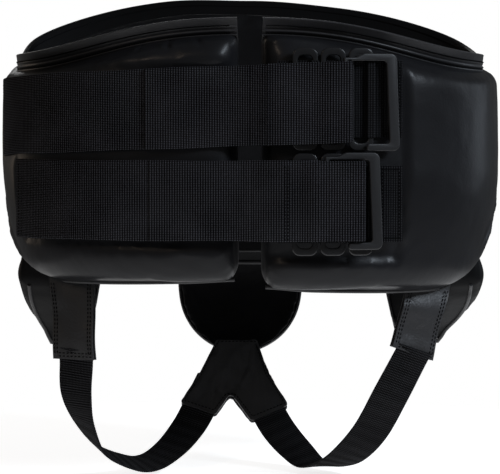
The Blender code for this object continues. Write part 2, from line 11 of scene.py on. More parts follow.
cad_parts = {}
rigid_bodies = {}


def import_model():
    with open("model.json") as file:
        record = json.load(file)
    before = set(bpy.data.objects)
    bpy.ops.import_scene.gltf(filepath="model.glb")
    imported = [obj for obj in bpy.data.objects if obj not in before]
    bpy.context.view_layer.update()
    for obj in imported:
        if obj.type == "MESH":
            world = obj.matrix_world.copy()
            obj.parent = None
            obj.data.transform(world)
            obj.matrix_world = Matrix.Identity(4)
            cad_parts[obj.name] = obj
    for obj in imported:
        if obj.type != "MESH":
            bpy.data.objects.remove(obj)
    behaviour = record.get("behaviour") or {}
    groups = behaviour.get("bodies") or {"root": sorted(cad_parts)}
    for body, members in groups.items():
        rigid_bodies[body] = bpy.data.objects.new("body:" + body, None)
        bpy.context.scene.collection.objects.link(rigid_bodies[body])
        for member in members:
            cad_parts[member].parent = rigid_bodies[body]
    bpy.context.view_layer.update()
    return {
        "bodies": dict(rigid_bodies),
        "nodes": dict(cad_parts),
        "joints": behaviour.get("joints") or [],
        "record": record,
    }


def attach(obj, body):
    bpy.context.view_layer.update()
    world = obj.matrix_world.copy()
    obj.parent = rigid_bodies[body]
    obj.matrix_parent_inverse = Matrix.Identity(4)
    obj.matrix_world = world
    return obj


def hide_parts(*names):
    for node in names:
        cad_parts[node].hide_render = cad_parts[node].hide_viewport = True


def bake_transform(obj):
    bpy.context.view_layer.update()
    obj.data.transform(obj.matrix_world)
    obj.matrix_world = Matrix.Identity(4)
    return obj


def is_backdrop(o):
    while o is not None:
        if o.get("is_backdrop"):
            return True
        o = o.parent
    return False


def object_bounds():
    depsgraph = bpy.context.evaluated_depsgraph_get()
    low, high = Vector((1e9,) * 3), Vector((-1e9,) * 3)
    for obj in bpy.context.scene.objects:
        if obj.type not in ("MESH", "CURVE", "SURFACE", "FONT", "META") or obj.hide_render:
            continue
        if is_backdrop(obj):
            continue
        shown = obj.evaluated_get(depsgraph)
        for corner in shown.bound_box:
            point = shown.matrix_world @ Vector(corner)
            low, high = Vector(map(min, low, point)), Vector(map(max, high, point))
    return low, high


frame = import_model()

# The belt's section, as in the CAD
HALF_WIDTH, HALF_DEPTH_BACK, HALF_DEPTH_FRONT = 0.204, 0.157, 0.135
ROUNDNESS = 2.6
LOWER_TAPER, TAPER_TOP, TAPER_BOTTOM = 0.014, -0.010, -0.110
PADDING, EDGE_ROLL, EDGE_ROLL_RADIUS, SEAM_ROLL_RADIUS = 0.034, 0.017, 0.024, 0.010
RIM_AT_HIPS = 0.083
RIM_RISE_BACK, RIM_POWER_BACK = 0.0265, 4.6
RIM_RISE_FRONT, RIM_PEAK_FRONT, RIM_SKEW = 0.040, 0.0115, 0.0026
HIP_ROLL, HIP_ROLL_RADIUS = 0.008, 0.014
LOBE_FLARE, LOBE_FLARE_TOP, LOBE_FLARE_HEIGHT = 0.009, -0.075, 0.030
LOBE_TOP, LOBE_RUN, LOBE_FULLER = -0.085, 0.030, 0.5
BORDER_HEIGHT = 0.0145
BACK_GAP, CORNER_RADIUS = 0.021, 0.012
LEFT_WING_EDGE = ((0.0105, -0.098), (0.060, -0.100), (0.190, -0.102), (0.255, -0.092), (0.290, -0.076))
RIGHT_WING_EDGE = ((0.0105, -0.104), (0.060, -0.107), (0.190, -0.109), (0.255, -0.097), (0.290, -0.076))
FRONT_EDGE = (
    (0.000, -0.098), (0.055, -0.098), (0.090, -0.082), (0.122, -0.086), (0.158, -0.096),
    (0.168, -0.130), (0.176, -0.155), (0.185, -0.167), (0.198, -0.1665), (0.2095, -0.155),
    (0.228, -0.143), (0.243, -0.134), (0.262, -0.123), (0.282, -0.110),
)
FRONT_SKEW = 0.010

# Straps, tapes and rings, as in the CAD
STRAP, STRAP_HEIGHT = 0.0015, 0.063
UPPER_STRAP_START, LOWER_STRAP_START = -0.286, -0.212
STRAP_RETURN, STRAP_PAIR_GAP, LOOP_RADIUS = 0.00825, 0.0021, 0.0029
UPPER_STRAP_Z, UPPER_STRAP_SLOPE, LOWER_STRAP_Z = 0.0405, 0.036, -0.0338
RING_FIRST, RING_PITCH, RING_WIDTH, RING_HEIGHT = 0.0325, 0.0217, 0.0200, 0.080
RING_BAR, RING_END, RING, RING_LIFT = 0.0042, 0.0058, 0.0026, 0.0027
TAPE, TAPE_HEIGHT, TAPE_START, TAPE_END = 0.0009, 0.060, 0.021, 0.121
UPPER_ROW_Z, LOWER_ROW_Z = 0.0455, -0.0365
HOOK, HOOK_LIFT, HOOK_WINDOW, HOOK_OUTSIDE = 0.0032, 0.01095, 0.0322, 0.0380
UPPER_HOOK_AT, LOWER_HOOK_AT = 0.0725, 0.0585
UPPER_HOOK_TILT, LOWER_HOOK_TILT = math.radians(8), math.radians(5)
CLEARANCE = 0.0003
RIB_PITCH, WEFT_PITCH = 0.0020, 0.00135


# ---------------------------------------------------------------- shape of the belt

def ease(share):
    share = np.clip(share, 0.0, 1.0)
    return share * share * (3 - 2 * share)


def drawn_in(z, sine_squared, at_front):
    taper = LOWER_TAPER * ease((TAPER_TOP - z) / (TAPER_TOP - TAPER_BOTTOM))
    return taper - at_front * LOBE_FLARE * sine_squared * ease((LOBE_FLARE_TOP - z) / LOBE_FLARE_HEIGHT)


def section(angle, z, depth):
    """Points of the belt at angles from the back, heights, and depths below its outside."""
    angle, z, depth = np.broadcast_arrays(angle, z, depth)
    inset = drawn_in(z, np.sin(angle) ** 2, np.cos(angle) < 0) + depth
    half_depth = np.where(np.cos(angle) > 0, HALF_DEPTH_BACK, HALF_DEPTH_FRONT)
    power = 2 / ROUNDNESS
    x = -(HALF_WIDTH - inset) * np.sign(np.sin(angle)) * np.abs(np.sin(angle)) ** power
    y = (half_depth - inset) * np.sign(np.cos(angle)) * np.abs(np.cos(angle)) ** power
    return np.stack([x, y, z], axis=-1)


ANGLES = np.linspace(-math.pi, math.pi, 2881)
_outline = section(ANGLES, 0.0, 0.0)
LENGTHS = np.concatenate([[0], np.cumsum(np.linalg.norm(np.diff(_outline, axis=0), axis=1))])
LENGTHS -= LENGTHS[-1] / 2
HIP = float(np.interp(math.pi / 2, ANGLES, LENGTHS))
FRONT = float(LENGTHS[-1])


def wrapped(around):
    return (np.asarray(around, float) + FRONT) % (2 * FRONT) - FRONT


def angle_at(around):
    return np.interp(wrapped(around), LENGTHS, ANGLES)


def belt(around, z, depth):
    return section(angle_at(around), z, depth)


def outward(around):
    along = belt(np.asarray(around) + 0.0005, 0, 0) - belt(np.asarray(around) - 0.0005, 0, 0)
    normal = np.stack([-along[..., 1], along[..., 0], 0 * along[..., 0]], axis=-1) * -1
    return normal / np.linalg.norm(normal, axis=-1, keepdims=True)


def on_belt(around, height, z):
    """Points at a height above the belt's outside."""
    around, height, z = np.broadcast_arrays(np.asarray(around, float), height, z)
    points = belt(around, 0 * around, 0) + outward(around) * height[..., None]
    points[..., 2] = z
    return points


def rim(around):
    facing = np.cos(angle_at(around))
    place = wrapped(around)
    from_front = FRONT - np.abs(place)
    at_back = RIM_AT_HIPS + RIM_RISE_BACK * np.abs(facing) ** RIM_POWER_BACK
    skew = RIM_SKEW * ease(from_front / 0.080) * ease((FRONT - HIP - from_front) / 0.060)
    at_front = RIM_AT_HIPS + RIM_RISE_FRONT * np.abs(facing) + RIM_PEAK_FRONT * facing**4
    return np.where(facing > 0, at_back, at_front + np.where(place < 0, skew, -skew))


def hip_share(around):
    """1 at the hips, falling to 0 towards the back and the front."""
    return np.sin(angle_at(around)) ** 12


def edge_sink(around):
    """How far the padding's outside sinks at its upper and lower edges."""
    return EDGE_ROLL - HIP_ROLL * hip_share(around)


def stepped(points, at):
    """Heights at distances, on a smooth line through the given points that never overshoots them."""
    places, heights = np.array(points).T
    steps = np.diff(places)
    slopes = np.diff(heights) / steps
    turns = np.zeros(len(points))
    same_way = slopes[:-1] * slopes[1:] > 0
    both = np.where(same_way, slopes[:-1] + slopes[1:], 1)
    turns[1:-1] = np.where(same_way, 2 * slopes[:-1] * slopes[1:] / both, 0)
    at = np.asarray(at, float)
    i = np.clip(np.searchsorted(places, at) - 1, 0, len(points) - 2)
    t = np.clip((at - places[i]) / steps[i], 0, 1)
    leaving, arriving = turns[i] * steps[i], turns[i + 1] * steps[i]
    rise = (heights[i + 1] - heights[i]) * ease(t)
    return heights[i] + rise + leaving * t * (1 - t) ** 2 - arriving * t * t * (1 - t)


def lower_edge(around):
    place = wrapped(around)
    from_back, right = np.abs(place), place > 0
    wing = np.where(right, stepped(RIGHT_WING_EDGE, from_back), stepped(LEFT_WING_EDGE, from_back))
    from_front = FRONT - from_back
    skew = FRONT_SKEW * ease(from_front / 0.060) * ease((FRONT - HIP - from_front) / 0.120)
    front = stepped(FRONT_EDGE, from_front + np.where(right, skew, -skew))
    return np.where(from_back <= HIP, wing, front)


def edge_roll(to_edge, radius):
    short = np.clip(1 - to_edge / radius, 0, 1)
    return 1 - np.sqrt(1 - short**2)


def lobe_share(around):
    """1 on the lobes that hang from the front, 0 elsewhere."""
    return ease((LOBE_TOP - lower_edge(around)) / LOBE_RUN) * (np.abs(wrapped(around)) > HIP)


def rolled_depth(around, z, low, high, start, end):
    """Depth of the padding's outside, rolled in at its edges and ends."""
    round_off = EDGE_ROLL_RADIUS - HIP_ROLL_RADIUS * hip_share(around)
    upright = np.maximum(edge_roll(z - low, round_off), edge_roll(high - z, round_off))
    ends = 0
    for place in (start, end):
        at_back = abs(place) < HIP / 2
        radius, amount = (EDGE_ROLL_RADIUS, 1.0) if at_back else (SEAM_ROLL_RADIUS, 0.35)
        ends = np.maximum(ends, amount * edge_roll(np.abs(around - place), radius))
    fuller = 1 - LOBE_FULLER * lobe_share(around) * ease((LOBE_TOP - z) / LOBE_RUN)
    return edge_sink(around) * fuller * np.minimum(1.0, np.hypot(upright, ends))


def place_of(points):
    """(distance round, depth) of points near the belt, the reverse of belt()."""
    x, y, z = np.asarray(points).T
    half_depth = np.where(y > 0, HALF_DEPTH_BACK, HALF_DEPTH_FRONT)
    low, high = np.full(x.shape, -0.06), np.full(x.shape, 0.12)
    for _ in range(30):
        depth = (low + high) / 2
        sine_squared = np.clip((np.abs(x) / (HALF_WIDTH - depth)) ** ROUNDNESS, 0, 1)
        inset = drawn_in(z, sine_squared, y < 0) + depth
        outside = (np.abs(x) / (HALF_WIDTH - inset)) ** ROUNDNESS
        outside = outside + (np.abs(y) / np.maximum(half_depth - inset, 1e-4)) ** ROUNDNESS > 1
        low, high = np.where(outside, low, depth), np.where(outside, depth, high)
    inset = drawn_in(z, sine_squared, y < 0) + depth
    sine = np.clip((np.abs(x) / (HALF_WIDTH - inset)) ** (ROUNDNESS / 2), 0, 1)
    angle = np.arcsin(sine)
    angle = np.where(y < 0, math.pi - angle, angle) * -np.sign(x)
    return np.interp(angle, ANGLES, LENGTHS), depth


def uneven(points, scale, seed):
    """Smooth unevenness from -1 to 1 at points, the same each run."""
    shift = Vector((seed * 7.3, seed * 3.1, seed * 5.7))
    return np.array([noise.noise(Vector(p) * scale + shift) for p in np.asarray(points)])


# ---------------------------------------------------------------- making meshes

SHARP, SHARP_MOULDING = math.radians(50), math.radians(40)
CORD_SIDES, STITCH_SIDES = 10, 6
STITCH, STITCH_PITCH, STITCH_RADIUS = 0.0023, 0.0032, 0.00042
STITCH_SHAPE = (
    # along the stitch in lengths; swell and rise in radii
    (-0.5, 0.35, -0.5), (-0.25, 0.9, 0.1), (0.0, 1.0, 0.25), (0.25, 0.9, 0.1), (0.5, 0.35, -0.5),
)


def object_from(mesh, name, look, sharp_angle):
    """Turn a finished bmesh into an object, smooth except at its sharp edges."""
    data = bpy.data.meshes.new(name)
    mesh.to_mesh(data)
    mesh.free()
    data.materials.append(look)
    data.shade_smooth()
    data.set_sharp_from_angle(angle=sharp_angle)
    made = bpy.data.objects.new(name, data)
    bpy.context.scene.collection.objects.link(made)
    return made


def new_object(name, vertices, faces, looks, uv=None):
    data = bpy.data.meshes.new(name)
    data.from_pydata([tuple(v) for v in vertices], [], [tuple(f) for f in faces])
    data.validate()
    for look in looks:
        data.materials.append(look)
    if uv is not None:
        layer = data.uv_layers.new(name="along_and_across")
        corners = np.empty(len(data.loops), np.int32)
        data.loops.foreach_get("vertex_index", corners)
        layer.data.foreach_set("uv", np.asarray(uv, float)[corners].ravel())
    made = bpy.data.objects.new(name, data)
    bpy.context.scene.collection.objects.link(made)
    mesh = bmesh.new()
    mesh.from_mesh(data)
    bmesh.ops.recalc_face_normals(mesh, faces=mesh.faces)
    if mesh.calc_volume(signed=True) < 0:
        bmesh.ops.reverse_faces(mesh, faces=mesh.faces)
    mesh.to_mesh(data)
    mesh.free()
    data.shade_smooth()
    data.set_sharp_from_angle(angle=SHARP)
    return made


def skinned(name, outer, inner, looks, uv=None):
    """Close two equal grids of points, (rows, columns, 3), into one solid."""
    rows, columns = outer.shape[:2]
    count = rows * columns
    index = np.arange(count).reshape(rows, columns)
    corners = index[:-1, :-1], index[:-1, 1:], index[1:, 1:], index[1:, :-1]
    quads = np.stack(corners, axis=-1).reshape(-1, 4)
    edge = np.concatenate([index[0, :-1], index[:-1, -1], index[-1, :0:-1], index[:0:-1, 0]])
    ahead = np.roll(edge, -1)
    walls = np.stack([edge, ahead, ahead + count, edge + count], axis=-1)
    vertices = np.concatenate([outer.reshape(-1, 3), inner.reshape(-1, 3)])
    faces = np.concatenate([quads, quads[:, ::-1] + count, walls[:, ::-1]])
    if uv is not None:
        uv = np.concatenate([uv.reshape(-1, 2)] * 2)
    return new_object(name, vertices, faces, looks, uv)


def swept(name, rings, looks):
    """Join equal rings of points, (count, points, 3), into a capped tube."""
    count, points = rings.shape[:2]
    index = np.arange(count * points).reshape(count, points)
    around = np.roll(index, -1, axis=1)
    walls = np.stack([index[:-1], around[:-1], around[1:], index[1:]], axis=-1).reshape(-1, 4)
    faces = [tuple(wall) for wall in walls]
    faces += [tuple(index[0][::-1]), tuple(index[-1])]
    return new_object(name, rings.reshape(-1, 3), faces, looks)


def headings(route):
    ahead = np.gradient(route, axis=0)
    return ahead / np.linalg.norm(ahead, axis=1, keepdims=True)


def lengths_along(route):
    return np.concatenate([[0], np.cumsum(np.linalg.norm(np.diff(route, axis=0), axis=1))])


def tube(name, route, radius, look):
    """A round cord along a route in space."""
    route = np.asarray(route, float)
    ahead = headings(route)
    side = np.cross(ahead, np.array([0.0, 0.0, 1.0]))
    side /= np.linalg.norm(side, axis=1, keepdims=True)
    top = np.cross(side, ahead)
    turns = np.linspace(0, 2 * math.pi, CORD_SIDES, endpoint=False)[None, :, None]
    rings = route[:, None] + radius * (np.cos(turns) * side[:, None] + np.sin(turns) * top[:, None])
    return swept(name, rings, [look])


def resampled(route, spacing):
    route = np.asarray(route, float)
    lengths = lengths_along(route)
    count = max(2, int(lengths[-1] / spacing) + 1)
    places = np.linspace(0, lengths[-1], count)
    return np.stack([np.interp(places, lengths, route[:, k]) for k in range(route.shape[1])], axis=1)


def stitch(centre, up, ahead, length, radius):
    """The points of one stitch, ring by ring."""
    ahead = ahead / np.linalg.norm(ahead)
    up = up - ahead * up.dot(ahead)
    up /= np.linalg.norm(up)
    side = np.cross(ahead, up)
    points = []
    for along, swell, rise in STITCH_SHAPE:
        middle = centre + ahead * along * length + up * rise * radius
        for k in range(STITCH_SIDES):
            turn = 2 * math.pi * k / STITCH_SIDES
            out = math.cos(turn) * up + math.sin(turn) * side
            points.append(middle + out * swell * radius)
    return points


def stitches(name, routes, normals, look, pitch=STITCH_PITCH, length=STITCH, radius=STITCH_RADIUS):
    """Rows of thread, each stitch a small bead half sunk into what it sews."""
    vertices, faces = [], []
    rings, sides = len(STITCH_SHAPE), STITCH_SIDES
    for route, normal in zip(routes, normals):
        both = resampled(np.hstack([route, normal]), pitch)
        centres, ups = both[:, :3], both[:, 3:]
        for centre, up, ahead in zip(centres[:-1], ups, np.gradient(centres, axis=0)):
            base = len(vertices)
            vertices += stitch(centre, up, ahead, length, radius)
            for ring in range(rings - 1):
                for k in range(sides):
                    a, b = base + ring * sides + k, base + ring * sides + (k + 1) % sides
                    faces.append((a, b, b + sides, a + sides))
            faces.append(tuple(range(base, base + sides))[::-1])
            faces.append(tuple(range(base + (rings - 1) * sides, base + rings * sides)))
    return new_object(name, vertices, faces, [look])


# ---------------------------------------------------------------- materials

def material(name):
    made = bpy.data.materials.new(name)
    made.use_nodes = True
    tree = made.node_tree
    return made, tree, tree.nodes["Principled BSDF"]


def node(tree, kind, **settings):
    made = tree.nodes.new(kind)
    for key, value in settings.items():
        if key in made.inputs:
            made.inputs[key].default_value = value
        else:
            setattr(made, key, value)
    return made


def coordinates(tree, uv=False):
    """Texture places in metres: on the object, or along and across a band."""
    source = node(tree, "ShaderNodeTexCoord")
    return source.outputs["UV" if uv else "Object"]


def ramp(tree, value, stops):
    made = node(tree, "ShaderNodeValToRGB")
    elements = made.color_ramp.elements
    while len(elements) < len(stops):
        elements.new(0.5)
    for element, (place, colour) in zip(elements, stops):
        element.position = place
        element.color = (*colour, 1) if len(colour) == 3 else colour
    tree.links.new(value, made.inputs["Fac"])
    return made.outputs["Color"]


def grey(value):
    return (value, value, value)


def textured(tree, place, kind, **settings):
    """A texture, laid out by texture places."""
    made = node(tree, f"ShaderNodeTex{kind}", **settings)
    tree.links.new(place, made.inputs["Vector"])
    return made


def maths(tree, operation, *values):
    """What a sum gives; each value is a number or what another node gives."""
    made = node(tree, "ShaderNodeMath", operation=operation)
    for socket, value in zip(made.inputs, values):
        if isinstance(value, float):
            socket.default_value = value
        else:
            tree.links.new(value, socket)
    return made.outputs[0]


def dressed(tree, shader, colour, rough, specular, layers):
    """Set a shader's colour, roughness and specular level, and its bumps.

    layers is a chain of bumps, each (height output, strength, distance in metres)."""
    tree.links.new(colour, shader.inputs["Base Color"])
    tree.links.new(rough, shader.inputs["Roughness"])
    shader.inputs["Specular IOR Level"].default_value = specular
    normal = None
    for height, strength, distance in layers:
        bump = node(tree, "ShaderNodeBump", Strength=strength, Distance=distance)
        tree.links.new(height, bump.inputs["Height"])
        if normal:
            tree.links.new(normal, bump.inputs["Normal"])
        normal = bump.outputs["Normal"]
    tree.links.new(normal, shader.inputs["Normal"])


def grained(name, colours, gloss, grain, depths, specular, coat=0.0):
    """Vinyl or leather: pebbled grain, soft creases, and uneven colour and gloss.

    colours are the dark and light ones, gloss the lowest and highest roughness, and depths
    those of the grain and of the creases."""
    (dark, light), (rough_low, rough_high), (grain_depth, crease_depth) = colours, gloss, depths
    made, tree, shader = material(name)
    place = coordinates(tree)
    pebbles = textured(tree, place, "Voronoi", Scale=grain, feature="F1")
    pores = textured(tree, place, "Voronoi", Scale=grain * 1.9, feature="DISTANCE_TO_EDGE")
    creases = textured(tree, place, "Noise", Scale=38.0, Detail=5.0, Roughness=0.55, Distortion=0.6)
    patches = textured(tree, place, "Noise", Scale=11.0, Detail=3.0, Roughness=0.5).outputs["Fac"]
    colour = ramp(tree, patches, ((0.30, dark), (0.72, light)))
    rough = ramp(tree, patches, ((0.28, grey(rough_high)), (0.70, grey(rough_low))))
    dressed(tree, shader, colour, rough, specular, (
        (creases.outputs["Fac"], 0.5, crease_depth),
        (pebbles.outputs["Distance"], 0.35, grain_depth),
        (pores.outputs["Distance"], 0.25, grain_depth * 0.5),
    ))
    shader.inputs["Coat Weight"].default_value = coat
    shader.inputs["Coat Roughness"].default_value = 0.18
    return made


def stripes(tree, output, pitch):
    """0 to 1 and back along a coordinate, once in each pitch."""
    turned = maths(tree, "MULTIPLY", output, 2 * math.pi / pitch)
    return maths(tree, "MULTIPLY_ADD", maths(tree, "SINE", turned), 0.5, 0.5)


def woven(name, dark, light, rough):
    """Ribbed elastic webbing: ribs across the band, fine weft along it, and a little lint."""
    made, tree, shader = material(name)
    place = coordinates(tree, uv=True)
    split = node(tree, "ShaderNodeSeparateXYZ")
    tree.links.new(place, split.inputs["Vector"])
    ribs = stripes(tree, split.outputs["X"], RIB_PITCH)
    weft = stripes(tree, split.outputs["Y"], WEFT_PITCH)
    yarn = stripes(tree, split.outputs["X"], RIB_PITCH / 3)
    lint = textured(tree, place, "Noise", Scale=900.0, Detail=3.0, Roughness=0.7).outputs["Fac"]
    wear = textured(tree, place, "Noise", Scale=26.0, Detail=3.0).outputs["Fac"]
    # Colour follows the ribs and weft: painted shade, darker in the valleys between them and lighter on their
    # crowns, with random wear patches on top.
    cells = maths(tree, "MULTIPLY", ribs, weft)
    valley_shade_and_wear = maths(tree, "MULTIPLY_ADD", cells, 0.80, maths(tree, "MULTIPLY", wear, 0.30))
    between = tuple(0.75 * d + 0.25 * b for d, b in zip(dark, light))
    colour = ramp(tree, valley_shade_and_wear, ((0.12, dark), (0.50, between), (0.98, light)))
    fuzz = ramp(tree, lint, ((0.3, grey(rough - 0.12)), (0.7, grey(rough + 0.10))))
    dressed(tree, shader, colour, fuzz, 0.04, (
        (ribs, 0.6, 0.00035), (weft, 0.6, 0.00022), (yarn, 0.3, 0.00010), (lint, 0.25, 0.0002),
    ))
    return made


def moulded(name, colours, gloss, grain_depth):
    """Moulded plastic: fine spark texture, flow marks and rubbed patches."""
    (dark, light), (rough_low, rough_high) = colours, gloss
    made, tree, shader = material(name)
    place = coordinates(tree)
    spark = textured(tree, place, "Noise", Scale=2600.0, Detail=2.0, Roughness=0.6).outputs["Fac"]
    flow = textured(tree, place, "Noise", Scale=60.0, Detail=4.0, Distortion=1.2).outputs["Fac"]
    colour = ramp(tree, flow, ((0.3, dark), (0.7, light)))
    rough = ramp(tree, flow, ((0.3, grey(rough_high)), (0.7, grey(rough_low))))
    dressed(tree, shader, colour, rough, 0.35, ((flow, 0.15, 0.0003), (spark, 0.5, grain_depth)))
    return made


def cloth_lining(name, dark, light):
    """Smooth polyester lining: a fine plain weave with a satin sheen and soft rumples."""
    made, tree, shader = material(name)
    place = coordinates(tree)
    weave = [
        textured(tree, place, "Wave", Scale=160.0, Distortion=0.4, Detail=1.0, bands_direction=direction)
        for direction in ("X", "Z")
    ]
    rumple = textured(tree, place, "Noise", Scale=22.0, Detail=4.0, Distortion=0.8).outputs["Fac"]
    # Colour follows the rumples: painted shade, darker in their hollows and lighter on their crests.
    colour = ramp(tree, rumple, ((0.3, dark), (0.7, light)))
    rough = ramp(tree, rumple, ((0.3, grey(0.62)), (0.7, grey(0.48))))
    layers = [(rumple, 0.5, 0.004)] + [(wave.outputs["Fac"], 0.2, 0.0001) for wave in weave]
    dressed(tree, shader, colour, rough, 0.08, layers)
    shader.inputs["Sheen Weight"].default_value = 0.01
    shader.inputs["Sheen Roughness"].default_value = 0.4
    return made


VINYL = grained(
    "padded_vinyl", ((0.0075, 0.0076, 0.0086), (0.0120, 0.0122, 0.0138)), (0.34, 0.44), 620,
    (0.00010, 0.0009), specular=0.15, coat=0.03,
)
LEATHER = grained(
    "soft_leather", ((0.0160, 0.0157, 0.0164), (0.0320, 0.0315, 0.0330)), (0.36, 0.50), 480,
    (0.00018, 0.0030), specular=0.30,
)
BORDER_LOOK = grained(
    "border_leather", ((0.0200, 0.0198, 0.0214), (0.0330, 0.0326, 0.0352)), (0.34, 0.46), 700,
    (0.00012, 0.0016), specular=0.32,
)
# A darker copy of the border leather: painted shade, used on the front border and on the lobes' ends.
SHADE_PAINTED_LEATHER = grained(
    "shade_painted_leather", ((0.0022, 0.0022, 0.0024), (0.0044, 0.0044, 0.0048)), (0.46, 0.60), 700,
    (0.00012, 0.0012), specular=0.08,
)
# Near-black thread: partly its own colour, partly painted shade that stands in for the stitch holes' shadows.
THREAD = grained(
    "thread", ((0.0006, 0.0006, 0.0007), (0.0024, 0.0024, 0.0026)), (0.60, 0.80), 2400,
    (0.0002, 0.0001), specular=0.04,
)
LINING = cloth_lining("satin_lining", (0.0040, 0.0040, 0.0044), (0.0075, 0.0075, 0.0082))
WEBBING = woven("elastic_webbing", (0.0006, 0.0006, 0.0007), (0.0860, 0.0860, 0.0970), 0.80)
TAPE_LOOK = woven("tape_webbing", (0.0010, 0.0010, 0.0011), (0.0400, 0.0400, 0.0440), 0.76)
HOOK_LOOK = moulded(
    "hook_plastic", ((0.0120, 0.0120, 0.0128), (0.0200, 0.0200, 0.0214)), (0.34, 0.48), 0.00006,
)
RING_LOOK = moulded(
    "ring_plastic", ((0.0090, 0.0090, 0.0097), (0.0160, 0.0160, 0.0172)), (0.22, 0.34), 0.00003,
)
SHELL_LOOK = moulded(
    "cup_plastic", ((0.0060, 0.0060, 0.0065), (0.0110, 0.0110, 0.0120)), (0.42, 0.55), 0.00006,
)


# ---------------------------------------------------------------- padded stretches

HIP_SEAM = HIP - 0.0004
CLOTH_FRAMES = 18
STRAP_MARGIN, STRAPS_WITHIN = 0.006, 0.26
LINING_FROM, LINING_RUN = 0.020, 0.010
HELD_BY_STRAPS, HELD_BY_LINING = 0.93, 0.45
CREASE_WANDER, CREASE_SHOULDER, CREASE_FADE = 0.0016, 0.45, 0.3
PAD_GRID, PAD_PRESSURE, PAD_TUCK, PAD_SLIM = 0.0045, 3.6, 0.0015, 0.0012
PAD_CLOTH = {"mass": 0.3, "tension_stiffness": 18, "compression_stiffness": 18, "bending_stiffness": 0.6}
STRAP_ZONES = (
    # distance round from, to, and the heights between which straps press on the padding
    (UPPER_STRAP_START - 0.004, BACK_GAP, 0.000, 0.071),
    (LOWER_STRAP_START - 0.004, BACK_GAP, -0.067, -0.001),
    (BACK_GAP / 2, TAPE_END + 0.003, 0.004, 0.087),
    (BACK_GAP / 2, TAPE_END + 0.003, -0.078, 0.005),
)


def under_straps(around, z):
    """1 where a strap or tape lies on the padding, falling to 0 beside it."""
    pressed = np.zeros(np.shape(around))
    for start, end, low, high in STRAP_ZONES:
        beside = np.maximum(np.maximum(start - around, around - end), np.maximum(low - z, z - high))
        pressed = np.maximum(pressed, 1 - ease(beside / STRAP_MARGIN))
    return pressed


def inflated(piece, pressure, cap_at, voxel):
    """Blow a closed mesh up as cloth, and let no point move further than its own cap."""
    remesh = piece.modifiers.new("even", "REMESH")
    remesh.mode = "VOXEL"
    remesh.voxel_size = voxel
    applied(piece)
    before = points_of(piece)
    cloth = piece.modifiers.new("swell", "CLOTH")
    cloth.settings.use_pressure = True
    cloth.settings.uniform_pressure_force = pressure
    for setting, value in PAD_CLOTH.items():
        setattr(cloth.settings, setting, value)
    cloth.settings.effector_weights.gravity = 0.0
    scene = bpy.context.scene
    for number in range(1, CLOTH_FRAMES + 1):
        scene.frame_set(number)
    after = evaluated_points(piece)
    piece.modifiers.clear()
    scene.frame_set(1)
    ups = normals_of(piece)
    out = ((after - before) * ups).sum(axis=1)
    place_points(piece, before + ups * np.clip(out, -CLEARANCE, cap_at(before))[:, None])
    finer = piece.modifiers.new("finer", "SUBSURF")
    finer.levels = finer.render_levels = 1
    applied(piece)


def points_of(piece):
    points = np.empty(len(piece.data.vertices) * 3)
    piece.data.vertices.foreach_get("co", points)
    return points.reshape(-1, 3)


def normals_of(piece):
    normals = np.empty(len(piece.data.vertices) * 3)
    piece.data.vertex_normals.foreach_get("vector", normals)
    return normals.reshape(-1, 3)


def place_points(piece, points):
    piece.data.vertices.foreach_set("co", np.ascontiguousarray(points, float).ravel())
    piece.data.update()


def evaluated_points(piece):
    return points_of(piece.evaluated_get(bpy.context.evaluated_depsgraph_get()))


def applied(piece):
    """Keep what the modifiers make, as plain mesh."""
    graph = bpy.context.evaluated_depsgraph_get()
    graph.update()
    made = bpy.data.meshes.new_from_object(piece.evaluated_get(graph))
    piece.modifiers.clear()
    piece.data = made


def cushion(name, start, end, swell):
    """One padded stretch of the belt: a crowned closed form, blown up as cloth."""
    columns = int((end - start) / PAD_GRID)
    around = np.linspace(start, end, columns)[None, :]
    share = np.linspace(0, 1, 56)[:, None]
    low, high = lower_edge(around), rim(around) - BORDER_HEIGHT + PAD_TUCK
    for place in (start, end):
        if abs(place) < HIP / 2:
            low = low + CORNER_RADIUS * edge_roll(np.abs(around - place), CORNER_RADIUS)
    z = low + (high - low) * share
    outer = belt(around, z, rolled_depth(around, z, low, high, start, end) + PAD_SLIM)
    inner = belt(around, z, PADDING - PAD_SLIM + 0 * z)
    piece = skinned(name, outer, inner, [VINYL, LINING])

    def cap(points):
        place, depth = place_of(points)
        near_back = np.abs(wrapped(place)) < STRAPS_WITHIN
        held = under_straps(place, points[:, 2]) * near_back * (depth < PADDING / 2)
        inside = ease((depth - LINING_FROM) / LINING_RUN)
        return swell * (1 - HELD_BY_STRAPS * held) * (1 - HELD_BY_LINING * inside)

    inflated(piece, PAD_PRESSURE, cap, PAD_GRID)
    return piece


def creased(piece, creases):
    """Press narrow folds into the vinyl: (start, end, depth, width), as (around, z) places."""
    points = points_of(piece)
    place, depth = place_of(points)
    z = points[:, 2]
    shown = 1 - ease((depth - 0.012) / 0.010)
    centre = np.median(place)
    if abs(centre) > HIP:
        place = np.where(place < 0, place + 2 * FRONT, place)
    push = np.zeros(len(points))
    for (a0, z0), (a1, z1), amount, width in creases:
        ahead = np.array([a1 - a0, z1 - z0])
        length = np.linalg.norm(ahead)
        ahead /= length
        along = (place - a0) * ahead[0] + (z - z0) * ahead[1]
        aside = (z - z0) * ahead[0] - (place - a0) * ahead[1]
        wander = CREASE_WANDER * np.sin(along / length * 7 + a0 * 90)
        line = np.exp(-(((aside - wander) / width) ** 2))
        shoulder = np.exp(-(((np.abs(aside - wander) - 2.1 * width) / (1.3 * width)) ** 2))
        fade = ease(along / (CREASE_FADE * length)) * ease((length - along) / (CREASE_FADE * length))
        push += amount * fade * (line - CREASE_SHOULDER * shoulder)
    inward = -outward(np.where(np.abs(place) > FRONT, wrapped(place), place))
    place_points(piece, points + inward * (push * shown)[:, None])


